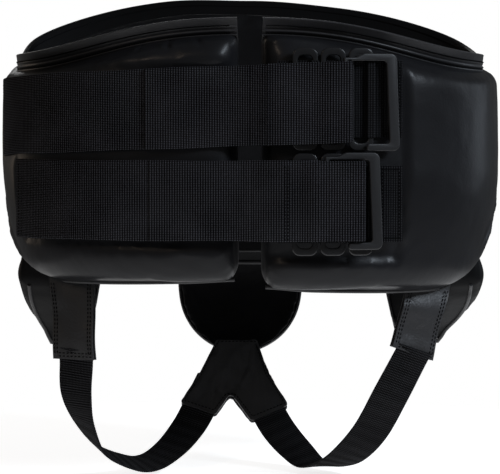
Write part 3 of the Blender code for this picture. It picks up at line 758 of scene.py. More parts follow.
def rumpled(piece, amount, scale, seed):
    """Soft unevenness that keeps a large surface from looking machined."""
    points = points_of(piece)
    place, depth = place_of(points)
    push = amount * uneven(points, scale, seed) + 0.35 * amount * uneven(points, scale * 2.7, seed + 1)
    free = 1 - 0.85 * under_straps(place, points[:, 2]) * (np.abs(place) < HIP)
    place_points(piece, points + outward(place) * (push * free)[:, None])


def split_looks(piece):
    """Vinyl outside, lining inside, and painted shade on the lobes' ends: dark leather on their back-facing
    faces, where they lie in shade.
    """
    centres = np.array([face.center for face in piece.data.polygons])
    place, depth = place_of(centres)
    normals = np.array([face.normal for face in piece.data.polygons])
    facing_in = -(normals * outward(place)).sum(axis=1)
    inside = (depth > PADDING - 0.0075) & (facing_in > 0.25)
    # Painted shade: the lobes' back-facing ends take the dark leather, standing in for the shade there.
    shaded_lobe_end = (np.abs(place) > HIP) & (centres[:, 2] < LOBE_TOP) & (normals[:, 1] > 0.1)
    piece.data.materials.clear()
    for look in (VINYL, LINING, SHADE_PAINTED_LEATHER):
        piece.data.materials.append(look)
    looks = np.where(inside, 1, np.where(shaded_lobe_end, 2, 0))
    piece.data.polygons.foreach_set("material_index", looks.astype(np.int32))
    piece.data.shade_smooth()


def bends(piece, side):
    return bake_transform(piece)


# Creases in the padding: (start, end, depth, width), the ends as (distance round, z)
CREASES = {
    "left_wing_pad": (
        ((-0.288, -0.060), (-0.262, -0.094), 0.0034, 0.0020),
        ((-0.276, -0.050), (-0.240, -0.094), 0.0030, 0.0024),
        ((-0.292, -0.030), (-0.268, -0.066), 0.0024, 0.0020),
        ((-0.200, 0.094), (-0.212, 0.074), 0.0022, 0.0020),
        ((-0.170, 0.098), (-0.176, 0.076), 0.0026, 0.0018),
        ((-0.145, 0.100), (-0.146, 0.078), 0.0022, 0.0017),
        ((-0.122, 0.102), (-0.118, 0.080), 0.0026, 0.0018),
        ((-0.098, 0.104), (-0.090, 0.081), 0.0022, 0.0018),
        ((-0.074, 0.106), (-0.062, 0.083), 0.0026, 0.0018),
        ((-0.052, 0.106), (-0.038, 0.084), 0.0020, 0.0017),
    ),
    "right_wing_pad": (
        ((0.290, -0.052), (0.248, -0.092), 0.0036, 0.0024),
        ((0.278, -0.036), (0.240, -0.078), 0.0024, 0.0026),
        ((0.292, -0.020), (0.262, -0.052), 0.0020, 0.0020),
    ),
    "front_pad": (
        ((0.318, -0.060), (0.345, -0.120), 0.0028, 0.0026),
        ((0.355, -0.050), (0.380, -0.112), 0.0024, 0.0026),
        ((0.842, -0.060), (0.812, -0.120), 0.0028, 0.0026),
        ((0.800, -0.045), (0.775, -0.110), 0.0024, 0.0026),
    ),
}


def padding(name, start, end, swell, rumple, scale, seed):
    piece = cushion(name, start, end, swell)
    creased(piece, CREASES[name])
    rumpled(piece, rumple, scale, seed)
    split_looks(piece)
    return piece


def pads():
    left = padding("left_wing_pad", -HIP_SEAM, -BACK_GAP / 2, 0.0055, 0.0008, 24.0, 3)
    right = padding("right_wing_pad", BACK_GAP / 2, HIP_SEAM, 0.0055, 0.0008, 24.0, 5)
    front = padding("front_pad", HIP + 0.0004, 2 * FRONT - HIP - 0.0004, 0.0050, 0.0010, 22.0, 9)
    for piece, side in ((left, "left"), (right, "right")):
        bends(piece, side)
        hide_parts(f"{side}_wing_cover", f"{side}_wing_foam", f"{side}_wing_lining")
    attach(front, "root")
    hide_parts("front_cover", "front_foam", "front_lining")


# ---------------------------------------------------------------- borders and piping

def loft_along(name, places, profile_at, look):
    """Sweep a profile, (height above the outside, z) points, along distances round the belt."""
    rings = []
    for around in places:
        profile = np.array(profile_at(around))
        rings.append(belt(np.full(len(profile), around), profile[:, 1], -profile[:, 0]))
    return swept(name, np.array(rings), [look])


BORDER_FOOT, BORDER_HALF, BORDER_STITCH, BORDER_TUCKED = 0.0010, 0.0011, 0.0064, 0.0045
BORDER_FULL, BORDER_TOP = BORDER_HEIGHT + BORDER_FOOT, 0.0013
BORDER_SINK, BORDER_HIP_LEAN = 0.0022, 1.5 * HIP_ROLL
WING_FLARE, FRONT_FLARE = 0.013, 0.011
BEADS = ((0.0016, 0.0013), (0.0048, 0.0011))  # height above the foot, and radius
FLAT_FROM, FLAT_RELIEF, FLAT_RUN = 0.0066, 0.0004, 0.0012
BINDING_HEIGHT, BINDING_RELIEF, BINDING_RUN = 0.0056, 0.0008, 0.0005
BORDER_THREAD, BEAD_STITCH, BINDING_STITCH = 0.00058, 0.0031, 0.0050
SEAM_GAP = 0.002  # what a border stops short of the hips' seams
PIPING, THIN_CORD = 0.0017, 0.0012


def border_place(around, height, flare):
    """How far out the middle of the border stands, at a height above its foot."""
    lean = flare - BORDER_HIP_LEAN * hip_share(around)
    return lean * height / BORDER_FULL - edge_sink(around) - BORDER_SINK


def border_profile(flare, beads, binding):
    """The border's section: beads on its outside, and a binding (1 or 0) on its inside."""
    heights = np.linspace(-BORDER_TUCKED, BORDER_FULL - BORDER_TOP, 48)
    relief = np.zeros(48)
    for centre, radius in beads:
        relief = np.maximum(relief, np.sqrt(np.clip(radius**2 - (heights - centre) ** 2, 0, None)))
    above = ease((heights - FLAT_FROM) / FLAT_RUN)
    below = ease((BORDER_FULL - BORDER_STITCH - heights) / FLAT_RUN)
    relief += FLAT_RELIEF * above * below
    folded = binding * BINDING_RELIEF * ease((heights - (BORDER_FULL - BINDING_HEIGHT)) / BINDING_RUN)
    top = BORDER_FULL - BORDER_TOP

    def at(around):
        foot = float(rim(around)) - BORDER_FULL
        rows = []
        for height, swell in zip(heights, relief):
            rows.append((float(border_place(around, height, flare)) + BORDER_HALF + swell, foot + height))
        centre = float(border_place(around, top, flare))
        for turn in np.linspace(0.2, math.pi - 0.2, 7):
            out = (BORDER_HALF + 0.0002) * math.cos(turn)
            rows.append((centre + out, foot + top + BORDER_TOP * math.sin(turn)))
        for height, swell in zip(heights[::-1], folded[::-1]):
            rows.append((float(border_place(around, height, flare)) - BORDER_HALF - swell, foot + height))
        return rows
    return at


def border_rows(start, end, flare, heights, side):
    """Rows of stitching along a border, at heights above its foot, outside (1) or inside (-1)."""
    around = np.arange(start + 0.004, end - 0.003, 0.004)
    foot = rim(around) - BORDER_FULL
    rows = []
    for height in heights:
        out = border_place(around, height, flare) + side * (BORDER_HALF + 0.0001)
        rows.append((belt(around, foot + height, -out), side * outward(around)))
    return rows


def bordered(name, places, profile, rows, look):
    piece = loft_along(name, places, profile, look)
    points, normals = zip(*rows)
    sewn = stitches(f"{name}_thread", points, normals, THREAD, radius=BORDER_THREAD)
    return joined(piece, sewn)


def borders():
    for side, start, end in (
        ("left", SEAM_GAP - HIP_SEAM, -BACK_GAP / 2), ("right", BACK_GAP / 2, HIP_SEAM - SEAM_GAP),
    ):
        rows = border_rows(start, end, WING_FLARE, (BORDER_FULL - BORDER_STITCH, BEAD_STITCH), 1)
        places = np.append(np.arange(start, end, 0.0024), end)
        profile = border_profile(WING_FLARE, BEADS, 0)
        piece = bordered(f"{side}_wing_border", places, profile, rows, BORDER_LOOK)
        bends(piece, side)
        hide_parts(f"{side}_wing_flange")
    start, end = HIP + SEAM_GAP, 2 * FRONT - HIP - SEAM_GAP
    rows = border_rows(start, end, FRONT_FLARE, (BORDER_FULL - BORDER_STITCH,), 1)
    rows += border_rows(start, end, FRONT_FLARE, (BORDER_FULL - BINDING_STITCH,), -1)
    places = np.append(np.arange(start, end, 0.004), end)
    profile = border_profile(FRONT_FLARE, BEADS[:1], 1)
    # The front border takes the darker copy of the border leather: painted shade on the front's border.
    piece = bordered("front_border", places, profile, rows, SHADE_PAINTED_LEATHER)
    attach(piece, "root")
    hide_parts("front_flange")


def joined(*pieces):
    """One object from several, keeping each one's material."""
    kept = pieces[0]
    with bpy.context.temp_override(active_object=kept, selected_editable_objects=list(pieces)):
        bpy.ops.object.join()
    return kept


def front_edge_line(start, end, inset, depth):
    """Points on the front's outside or inside, a little above its lower edge."""
    around = np.linspace(start, end, max(8, int(abs(end - start) / 0.005)))
    z = lower_edge(around) + inset
    if depth < PADDING / 2:
        depth = depth - LOBE_FULLER * edge_sink(around) * lobe_share(around)
    return belt(around, z, depth)


def piping():
    """The corded seams along the front's lower edges, inside and out, and the wings'."""
    ends = (HIP + 0.004, 2 * FRONT - HIP - 0.004)
    for name, inset, depth, size in (
        ("front_edge_piping", 0.0005, EDGE_ROLL - 0.0010, PIPING),
        ("front_lining_piping", 0.0005, PADDING - 0.0030, PIPING),
        ("front_inner_cord", 0.0110, PADDING + 0.0012, THIN_CORD),
    ):
        piece = tube(name, front_edge_line(*ends, inset, depth), size, LEATHER)
        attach(piece, "root")
    near, far = BACK_GAP / 2 + 0.004, HIP_SEAM - 0.003
    for side, start, end in (("left", -far, -near), ("right", near, far)):
        around = np.linspace(start, end, 64)
        line = belt(around, lower_edge(around) + 0.0006, EDGE_ROLL + 0.0006)
        piece = tube(f"{side}_wing_piping", line, PIPING, LEATHER)
        bends(piece, side)


# ---------------------------------------------------------------- straps and tapes

def strap_levels(around, row):
    if row == "upper":
        return UPPER_STRAP_Z + UPPER_STRAP_SLOPE * around
    return LOWER_STRAP_Z + 0 * around


FOLD_RUN, FOLD_LENGTH = 0.0020, 0.030
CLIMB_START, CLIMB_END, LOOP_CLIMB = -0.018, 0.028, 0.016
STRAP_ROWS = (
    # row, sewn end on the wing, far end of the loop, where it is sewn back, fold's place and height,
    # and where the strap has climbed to the loop's top
    ("upper", UPPER_STRAP_START, 0.0745, 0.013, -0.083, 0.0022, 0.0645),
    ("lower", LOWER_STRAP_START, 0.0845, 0.027, -0.080, 0.0008, LOWER_HOOK_AT - 0.006),
)
FINE_PITCH, FINE_STITCH = 0.0026, 0.0019
STRAP_RELIEF, STRAP_SLACK, EDGE_WAVES = 0.00016, 0.0003, 61  # ribs, wavy edges, radians in a metre
BAND_EDGES = (0.0, 0.25, 0.5, 0.75, 0.90, 0.955, 0.985, 1.0)
ELASTIC_EDGES = (0.0, 0.3, 0.6, 0.8, 0.91, 0.97, 1.0)


def both_ways(shares):
    """The same shares to both sides of the middle, from -1 to 1."""
    return np.array([-share for share in shares[:0:-1]] + list(shares))


def selvedge(across, begins, thinnest):
    """Share of a band's thickness at places across it, rounded off towards its edges."""
    beyond = np.clip(np.abs(across) - begins, 0, 1) / (1.002 - begins)
    return np.maximum(np.sqrt(np.clip(1 - beyond**2, 0, 1)), thinnest)


def fold_step(places, fold_at, height):
    """The strap's second layer: a step where it begins, easing away towards the rings."""
    begun = ease((places - fold_at) / FOLD_RUN)
    return height * begun * (1 - ease((places - fold_at - FOLD_LENGTH) / FOLD_LENGTH))


def strap_route(start, loop_end, sewn_at, fold_at, fold, top_at):
    """(distance round, height): along the left wing, over the rings, round the loop and back."""
    flat = CLEARANCE + STRAP / 2 + 0.0002
    outer = STRAP_RETURN + STRAP_PAIR_GAP
    climb = CLIMB_END - CLIMB_START
    rise = 2 * LOOP_RADIUS - STRAP_PAIR_GAP
    route = [(p, flat + fold_step(p, fold_at, fold)) for p in np.linspace(start, CLIMB_START, 700)]
    for p in np.linspace(CLIMB_START, CLIMB_END, 36)[1:]:
        route.append((p, flat + (outer - flat) * ease((p - CLIMB_START) / climb)))
    for p in np.linspace(top_at - LOOP_CLIMB, top_at, 18):
        route.append((p, outer + rise * ease((p - top_at + LOOP_CLIMB) / LOOP_CLIMB)))
    middle = STRAP_RETURN + LOOP_RADIUS
    for turn in np.linspace(math.pi / 2, -math.pi / 2, 17):
        route.append((loop_end + LOOP_RADIUS * math.cos(turn), middle + LOOP_RADIUS * math.sin(turn)))
    route += [(p, STRAP_RETURN) for p in np.linspace(loop_end, sewn_at, 34)[1:]]
    return np.array(route, float)


def webbing(name, route, thickness, half_height, level_at, look, ribs, relief, edge_slack=0.0):
    """A ribbed band along a route round the belt, with rounded selvedges and real ribs."""
    route = resampled(route, ribs / 6)
    ahead = headings(route)
    side = np.stack([-ahead[:, 1], ahead[:, 0]], axis=1)
    lengths = lengths_along(route)
    rib = relief * np.sin(2 * math.pi * lengths / ribs)
    across = both_ways(BAND_EDGES)
    thin = selvedge(across, 0.955, 0.25)
    grids = []
    for sign in (1, -1):
        half = thickness / 2 + rib[:, None] * (sign > 0)
        lift = route[:, 1, None] + sign * side[:, 1, None] * half * thin[None, :]
        place = route[:, 0, None] + sign * side[:, 0, None] * half * thin[None, :]
        level = level_at(route[:, 0, None]) + across[None, :] * half_height
        level = level + edge_slack * np.sin(lengths * EDGE_WAVES)[:, None] * across[None, :]
        grids.append(on_belt(place, lift, level))
    uv = np.stack(np.broadcast_arrays(lengths[:, None], across[None, :] * half_height), axis=-1)
    return skinned(name, grids[0], grids[1], [look], uv)


def cross_rows(name, places, height, level_at, half_height):
    """Rows of stitching straight across a strap at distances round the belt."""
    routes, normals = [], []
    for place in places:
        levels = np.linspace(-half_height, half_height, 30)
        routes.append(on_belt(place + 0 * levels, height, level_at(place) + levels))
        normals.append(np.repeat(outward(np.array([place])), 30, axis=0))
    return stitches(name, routes, normals, THREAD, FINE_PITCH, FINE_STITCH)


def box_rows(name, start, end, height, level_at, half_height):
    """A sewn rectangle on a strap."""
    low, high = -half_height, half_height
    corners = ((start, low), (end, low), (end, high), (start, high), (start, low))
    routes, normals = [], []
    for (a0, l0), (a1, l1) in zip(corners, corners[1:]):
        share = np.linspace(0, 1, 20)
        around = a0 + (a1 - a0) * share
        level = l0 + (l1 - l0) * share
        routes.append(on_belt(around, height, level_at(around) + level))
        normals.append(outward(around))
    return stitches(name, routes, normals, THREAD, FINE_PITCH, FINE_STITCH)


def straps():
    outer = STRAP_RETURN + STRAP_PAIR_GAP + STRAP / 2
    under_edge = STRAP_HEIGHT / 2 - 0.002
    for row, start, loop_end, sewn_at, fold_at, fold, top_at in STRAP_ROWS:
        def level(around, row=row):
            return strap_levels(around, row)

        route = strap_route(start, loop_end, sewn_at, fold_at, fold, top_at)
        piece = webbing(
            f"{row}_strap_webbing", route, STRAP, STRAP_HEIGHT / 2, level, WEBBING, RIB_PITCH,
            STRAP_RELIEF, STRAP_SLACK,
        )
        sewn = cross_rows(f"{row}_strap_thread", (sewn_at, sewn_at + 0.0022), outer, level, under_edge)
        at_wing = cross_rows(
            f"{row}_strap_end_thread", (start + 0.005, start + 0.0095),
            CLEARANCE + STRAP + 0.0002, level, under_edge,
        )
        piece = joined(piece, sewn, at_wing)
        bends(piece, "left")
        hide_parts(f"{row}_back_strap")


RING_STARTS = [RING_FIRST + number * RING_PITCH for number in range(3)]
TAPE_RIBS, BASE_RELIEF, TAPE_RELIEF, ELASTIC_RELIEF = 0.0024, 0.00010, 0.00012, 0.00014


def tape_heights():
    """Heights of the base tape and, at distances round, of the tape that holds the rings' bars."""
    base = CLEARANCE + TAPE / 2
    low = base + TAPE + CLEARANCE
    top = RING_LIFT + RING + 0.0005 + TAPE / 2
    held = [(TAPE_START, low)]
    for start in RING_STARTS:
        before, after = start + RING_WIDTH - RING_BAR - 0.0012, start + RING_WIDTH + 0.00085
        held += [(before - 0.0006, low), (before + 0.0003, top)]
        held += [(after - 0.0002, top), (after + 0.0002, low)]
    held.append((TAPE_END, low))
    return base, np.array(held)


def tapes():
    base, held = tape_heights()
    straight = np.array([(TAPE_START, base), (TAPE_END, base)])
    half = TAPE_HEIGHT / 2
    low = held[0][1] + TAPE / 2 + 0.0001
    places = [start - 0.0008 for start in RING_STARTS[1:]] + [TAPE_END - 0.026, TAPE_END - 0.0235]
    for row, z in (("upper", UPPER_ROW_Z), ("lower", LOWER_ROW_Z)):
        def level(around, z=z):
            return z + 0 * around

        under = webbing(f"{row}_base_webbing", straight, TAPE, half, level, TAPE_LOOK, TAPE_RIBS, BASE_RELIEF)
        over = webbing(f"{row}_ring_webbing", held, TAPE, half, level, TAPE_LOOK, TAPE_RIBS, TAPE_RELIEF)
        sewn = cross_rows(f"{row}_tape_thread", places, low, level, half - 0.002)
        patch = box_rows(
            f"{row}_tape_patch_thread", TAPE_END - 0.017, TAPE_END - 0.003, low, level, half - 0.003,
        )
        over = joined(over, sewn, patch)
        for piece, node_name in ((under, f"{row}_base_tape"), (over, f"{row}_ring_tape")):
            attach(piece, "right_wing")
            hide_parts(node_name)


# ---------------------------------------------------------------- hooks and rings

def rounded_outline(corners, steps):
    outline = []
    for index, (x, y, radius) in enumerate(corners):
        here = Vector((x, y))
        before = (Vector(corners[index - 1][:2]) - here).normalized()
        after = (Vector(corners[(index + 1) % len(corners)][:2]) - here).normalized()
        half = before.angle(after) / 2
        centre = here + (before + after).normalized() * radius / math.sin(half)
        first = here + before * radius / math.tan(half) - centre
        last = here + after * radius / math.tan(half) - centre
        sweep = first.angle_signed(last)
        for step in range(steps + 1):
            outline.append(centre + Matrix.Rotation(-sweep * step / steps, 2) @ first)
    return outline


def standing_frame(around, height, z, tilt):
    """Frame at a place on the belt: +X further round it, +Y outwards."""
    y_axis = Vector(outward(np.array([around]))[0])
    x_axis = Vector((y_axis.y, -y_axis.x, 0)) * -1
    axes = Matrix((x_axis, y_axis, Vector((0, 0, 1)))).transposed().to_4x4()
    place = Vector(on_belt(np.array([around]), height, z)[0])
    return Matrix.Translation(place) @ axes @ Matrix.Rotation(tilt, 4, "Z")


def moulding(name, outlines, thickness, frame, look, edge):
    """A moulded plate from flat outlines, with rounded edges, set in place by a frame."""
    mesh = bmesh.new()
    loops = []
    for side in (-thickness / 2, thickness / 2):
        for outline in outlines:
            loops.append([mesh.verts.new((p.x, side, p.y)) for p in outline])
    if len(outlines) == 1:
        for loop in loops:
            mesh.faces.new(loop)
        pairs = [(loops[0], loops[1])]
    else:
        pairs = [(loops[0], loops[1]), (loops[2], loops[3]), (loops[0], loops[2]), (loops[1], loops[3])]
    for one, other in pairs:
        for i in range(len(one)):
            j = (i + 1) % len(one)
            mesh.faces.new((one[i], one[j], other[j], other[i]))
    bmesh.ops.recalc_face_normals(mesh, faces=mesh.faces)
    corner = math.radians(60)
    sharp = [e for e in mesh.edges if len(e.link_faces) == 2 and e.calc_face_angle() > corner]
    bmesh.ops.bevel(
        mesh, geom=sharp, offset=edge, segments=4, profile=0.5, affect="EDGES", clamp_overlap=True,
    )
    mesh.transform(frame)
    bmesh.ops.recalc_face_normals(mesh, faces=mesh.faces)
    if mesh.calc_volume(signed=True) < 0:
        bmesh.ops.reverse_faces(mesh, faces=mesh.faces)
    return object_from(mesh, name, look, SHARP_MOULDING)


RING_CORNER, RING_OPENING_CORNER, RING_EASED = 0.0062, 0.0040, 0.0010


def ring_outlines():
    """A ring's outside and its opening, the held bar's middle at the origin."""
    near, far = -RING_WIDTH + RING_BAR / 2, RING_BAR / 2
    half = RING_HEIGHT / 2
    corners = ((near, -half), (far, -half), (far, half), (near, half))
    inwards = ((1, 1), (-1, 1), (-1, -1), (1, -1))
    outside = [(x, y, RING_CORNER) for x, y in corners]
    opening = [
        (x + sx * RING_BAR, y + sy * RING_END, RING_OPENING_CORNER)
        for (x, y), (sx, sy) in zip(corners, inwards)
    ]
    return [rounded_outline(outline, 10) for outline in (outside, opening)]


def rings():
    outlines = ring_outlines()
    for row, z in (("upper", UPPER_ROW_Z), ("lower", LOWER_ROW_Z)):
        for number, start in enumerate(RING_STARTS, 1):
            place = standing_frame(start + RING_WIDTH - RING_BAR / 2, RING_LIFT + RING / 2, z, 0.0)
            piece = moulding(f"{row}_ring_{number}_moulding", outlines, RING, place, RING_LOOK, RING_EASED)
            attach(piece, f"{row}_ring_{number}")
            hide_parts(f"{row}_ring_{number}")


HOOK_BAR, HOOK_EASED = HOOK / 2, 0.0011
HOOK_OUTLINE = (
    # across, height and corner radius, from the bar that the strap's loop holds
    (-HOOK_BAR, -0.0310, 0.0014), (HOOK_BAR, -0.0310, 0.0014), (HOOK_BAR, HOOK_WINDOW, 0.0016),
    (0.0335, HOOK_WINDOW, 0.0028), (0.0365, -HOOK_WINDOW, 0.0028), (0.0180, -HOOK_WINDOW, 0.0022),
    (0.0170, -HOOK_OUTSIDE, 0.0022), (0.0450, -HOOK_OUTSIDE, 0.0052), (0.0420, HOOK_OUTSIDE, 0.0052),
    (0.0150, HOOK_OUTSIDE, 0.0050), (0.0085, 0.0348, 0.0050), (-HOOK_BAR, 0.0348, 0.0012),
)


def hooks():
    outlines = [rounded_outline(HOOK_OUTLINE, 8)]
    upper_z = UPPER_STRAP_Z + UPPER_STRAP_SLOPE * UPPER_HOOK_AT
    for name, around, z, tilt in (
        ("upper_hook", UPPER_HOOK_AT, upper_z, -UPPER_HOOK_TILT),
        ("lower_hook", LOWER_HOOK_AT, LOWER_STRAP_Z, -LOWER_HOOK_TILT),
    ):
        place = standing_frame(around, HOOK_LIFT, z, tilt)
        piece = moulding(f"{name}_moulding", outlines, HOOK, place, HOOK_LOOK, HOOK_EASED)
        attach(piece, name)
        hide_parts(name)


# ---------------------------------------------------------------- cup

CUP_TOP, CUP_BOTTOM, CUP_HALF, CUP_TIP_HALF, CUP_SIDE = -0.066, -0.1785, 0.056, 0.007, 0.0088
CUP_BULGE, CUP_STAND_OFF, CUP_RETREAT = 0.018, 0.005, 0.050
CUP_COVER, CUP_SHELL, CUP_PAD = 0.0014, 0.0030, 0.0060
CUP_ROUNDNESS, CUP_FULLNESS, CUP_NARROWING = 4.6, 0.62, 0.20
CUP_RETREAT_FROM, CUP_RETREAT_RUN, CUP_CROWN_POWER = 0.30, 1.25, 0.8
CUP_SIDE_SHARE = 0.42  # of the seam round the cup, the share along each side
CUP_PAD_GRID, CUP_PAD_PRESSURE, CUP_PAD_SWELL = 0.0028, 2.5, 0.0016


def cup_surface(across, down, depth):
    """Points of the cup at places across (-1 to 1) and down it (0 to 1), at a depth."""
    narrowing = np.clip(1 - np.maximum(down, 0) ** CUP_ROUNDNESS, 0, 1) ** CUP_FULLNESS
    half = np.maximum(CUP_TIP_HALF, CUP_HALF * narrowing)
    shoulders = np.sin(math.pi * np.minimum(1.0, down + 0.25) / 2)
    half = half * (1 - CUP_NARROWING + CUP_NARROWING * shoulders)
    retreat = CUP_RETREAT * ease((down - CUP_RETREAT_FROM) / CUP_RETREAT_RUN)
    back = retreat - HALF_DEPTH_FRONT - CUP_STAND_OFF
    crown = np.clip(1 - across * across, 0, 1) ** CUP_CROWN_POWER
    crown = crown * np.sin(math.pi * (0.10 + 0.76 * down)) ** CUP_CROWN_POWER
    z = CUP_TOP + (CUP_BOTTOM - CUP_TOP) * down
    x = CUP_SIDE + half * across
    return np.stack(np.broadcast_arrays(x, back - CUP_BULGE * crown + depth, z), axis=-1)


def even_to_edge(count):
    share = np.linspace(0, math.pi, count)
    return -np.cos(share)


def cup_panel(name, top, bottom, look, trim=1.0):
    across = (0.25 * np.linspace(-1, 1, 60) + 0.75 * even_to_edge(60))[None, :] * trim
    down = 0.5 + trim * (0.05 * np.linspace(-1, 1, 70) + 0.45 * even_to_edge(70))[:, None]
    outer, inner = cup_surface(across, down, top), cup_surface(across, down, bottom)
    return skinned(name, outer, inner, [look])


def cup_seam():
    """(across, down) round the cup: down one side, round the tip and up the other."""
    side, seam = CUP_SIDE_SHARE, []
    for share in np.linspace(0, 1, 120):
        if share < side:
            seam.append((-1.0, share / side))
        elif share < 1 - side:
            seam.append((-1 + 2 * (share - side) / (1 - 2 * side), 1.0))
        else:
            seam.append((1.0, 1 - (share - 1 + side) / side))
    return np.array(seam)


def softened(piece, width):
    edge = piece.modifiers.new("eased", "BEVEL")
    edge.width, edge.segments, edge.limit_method = width, 3, "ANGLE"
    edge.angle_limit = math.radians(55)
    applied(piece)
    piece.data.shade_smooth()


def cup():
    shell = CUP_COVER + CLEARANCE + CUP_SHELL
    seam = cup_seam()
    cover = cup_panel("cup_vinyl", 0.0, CUP_COVER, VINYL)
    row = cup_surface(seam[:, 0] * 0.88, 0.02 + seam[:, 1] * 0.93, 0.0)
    ups = np.tile(np.array([[0.0, -1.0, 0.0]]), (len(row), 1))
    cover = joined(cover, stitches("cup_thread", [row + ups * 0.0002], [ups], THREAD))
    moulded_shell = cup_panel("cup_plastic_shell", CUP_COVER + CLEARANCE, shell, SHELL_LOOK)
    softened(moulded_shell, 0.0008)
    path = cup_surface(seam[:, 0], seam[:, 1], CUP_COVER / 2)
    binding = tube("cup_binding", smoothed(path, 3), 0.0021, LEATHER)
    under = shell + CLEARANCE
    pad = cup_panel("cup_pad_cushion", under, under + CUP_PAD, LINING, trim=0.985)
    inflated(pad, CUP_PAD_PRESSURE, lambda points: np.full(len(points), CUP_PAD_SWELL), CUP_PAD_GRID)
    pad.data.materials.clear()
    pad.data.materials.append(LINING)
    pad.data.shade_smooth()
    for piece, slot in (
        (cover, "padded_vinyl"), (moulded_shell, "cup_plastic"), (binding, "leather"), (pad, "lining"),
    ):
        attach(piece, "root")
    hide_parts("cup_cover")
    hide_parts("cup_shell")
    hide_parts("cup_pad")


def smoothed(points, times):
    points = np.array(points, float)
    for _ in range(times):
        points[1:-1] = 0.25 * points[:-2] + 0.5 * points[1:-1] + 0.25 * points[2:]
    return points


# ---------------------------------------------------------------- leg straps, tabs and yoke

ELASTIC_WIDTH, ELASTIC = 0.030, 0.0020
TAB_WIDTH, TAB_LEATHER, TAB_POCKET, TAB_AT, TAB_DEPTH, YOKE = 0.040, 0.0014, 0.0026, 0.188, 0.021, 0.0016
LEFT_LEG = (
    ((0.1410, 0.0880, -0.1683), (0.92, -0.39, 0.00)),
    ((0.1415, 0.0840, -0.1935), (0.86, -0.51, 0.00)),
    ((0.1360, 0.0750, -0.2189), (0.60, -0.80, 0.03)),
    ((0.1238, 0.0550, -0.2430), (0.30, -0.94, 0.12)),
    ((0.1010, 0.0300, -0.2575), (0.24, -0.93, 0.22)),
    ((0.0840, 0.0090, -0.2600), (0.42, -0.84, 0.28)),
    ((0.0675, -0.0150, -0.2515), (0.72, -0.60, 0.28)),
    ((0.0537, -0.0368, -0.2370), (0.87, -0.38, 0.30)),
    ((0.0447, -0.0506, -0.2225), (0.91, -0.27, 0.314)),
    ((0.0385, -0.0611, -0.2103), (0.91, -0.27, 0.314)),
    ((0.0320, -0.0717, -0.1980), (0.91, -0.27, 0.314)),
)
RIGHT_LEG = (
    ((-0.1285, 0.0880, -0.1665), (0.89, 0.30, 0.36)),
    ((-0.1155, 0.0800, -0.1932), (0.88, 0.22, 0.42)),
    ((-0.1005, 0.0620, -0.2250), (0.87, 0.24, 0.42)),
    ((-0.0855, 0.0420, -0.2465), (0.86, 0.32, 0.36)),
    ((-0.0722, 0.0190, -0.2590), (0.87, 0.44, 0.20)),
    ((-0.0541, -0.0020, -0.2640), (0.87, 0.49, -0.03)),
    ((-0.0390, -0.0200, -0.2535), (0.86, 0.42, -0.26)),
    ((-0.0247, -0.0368, -0.2385), (0.90, 0.30, -0.32)),
    ((-0.0145, -0.0506, -0.2225), (0.91, 0.27, -0.314)),
    ((-0.0085, -0.0611, -0.2103), (0.91, 0.27, -0.314)),
    ((-0.0020, -0.0717, -0.1980), (0.91, 0.27, -0.314)),
)


def smooth_route(points, count):
    """An even curve through the points."""
    data = np.array(points, float)
    ends = np.vstack([2 * data[0] - data[1], data, 2 * data[-1] - data[-2]])
    route = []
    for place in np.linspace(0, len(data) - 1, count):
        i = min(int(place), len(data) - 2)
        t = place - i
        a, b, c, d = ends[i:i + 4]
        bend = (2 * a - 5 * b + 4 * c - d) * t**2 + (3 * b - a - 3 * c + d) * t**3
        route.append(0.5 * (2 * b + (c - a) * t + bend))
    return np.array(route)


TUCKED = 0.012  # how far the elastic's end reaches up inside its tab


def elastic(name, leg):
    """A leg's elastic along its route, turned so that its width follows the given directions."""
    first, second = np.array(leg[0][0]), np.array(leg[1][0])
    rise = (first - second) / np.linalg.norm(first - second)
    leg = ((tuple(first + rise * TUCKED), leg[0][1]), *leg)
    middles, directions = (smooth_route(column, 200) for column in zip(*leg))
    both = resampled(np.hstack([middles, directions]), 0.0005)
    centres, widths = both[:, :3], both[:, 3:]
    ahead = headings(centres)
    widths = widths - ahead * (widths * ahead).sum(axis=1)[:, None]
    widths /= np.linalg.norm(widths, axis=1)[:, None]
    face = np.cross(ahead, widths)
    lengths = lengths_along(centres)
    rib = ELASTIC_RELIEF * np.sin(2 * math.pi * lengths / TAPE_RIBS)
    across = both_ways(ELASTIC_EDGES)
    thin = selvedge(across, 0.90, 0.3)
    spread = widths[:, None] * (across * ELASTIC_WIDTH / 2)[None, :, None]
    grids = []
    for sign in (1, -1):
        half = (ELASTIC / 2 - 0.0001 + rib)[:, None] * thin[None, :] * sign
        grids.append(centres[:, None] + face[:, None] * half[..., None] + spread)
    uv = np.stack(np.broadcast_arrays(lengths[:, None], across[None, :] * ELASTIC_WIDTH / 2), axis=-1)
    return skinned(name, grids[0], grids[1], [TAPE_LOOK], uv)


def leg_elastics():
    for side, leg in (("left", LEFT_LEG), ("right", RIGHT_LEG)):
        piece = elastic(f"{side}_leg_webbing", leg)
        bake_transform(piece)
        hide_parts(f"{side}_leg_elastic")


TAB_HEAD_ABOVE, TAB_LENGTH, TAB_ACROSS, TAB_OUT = -0.14, 0.058, 0.92, 0.39
TAB_NARROWS, TAB_WAIST, TAB_CLOSES = 0.08, 0.05, 0.75


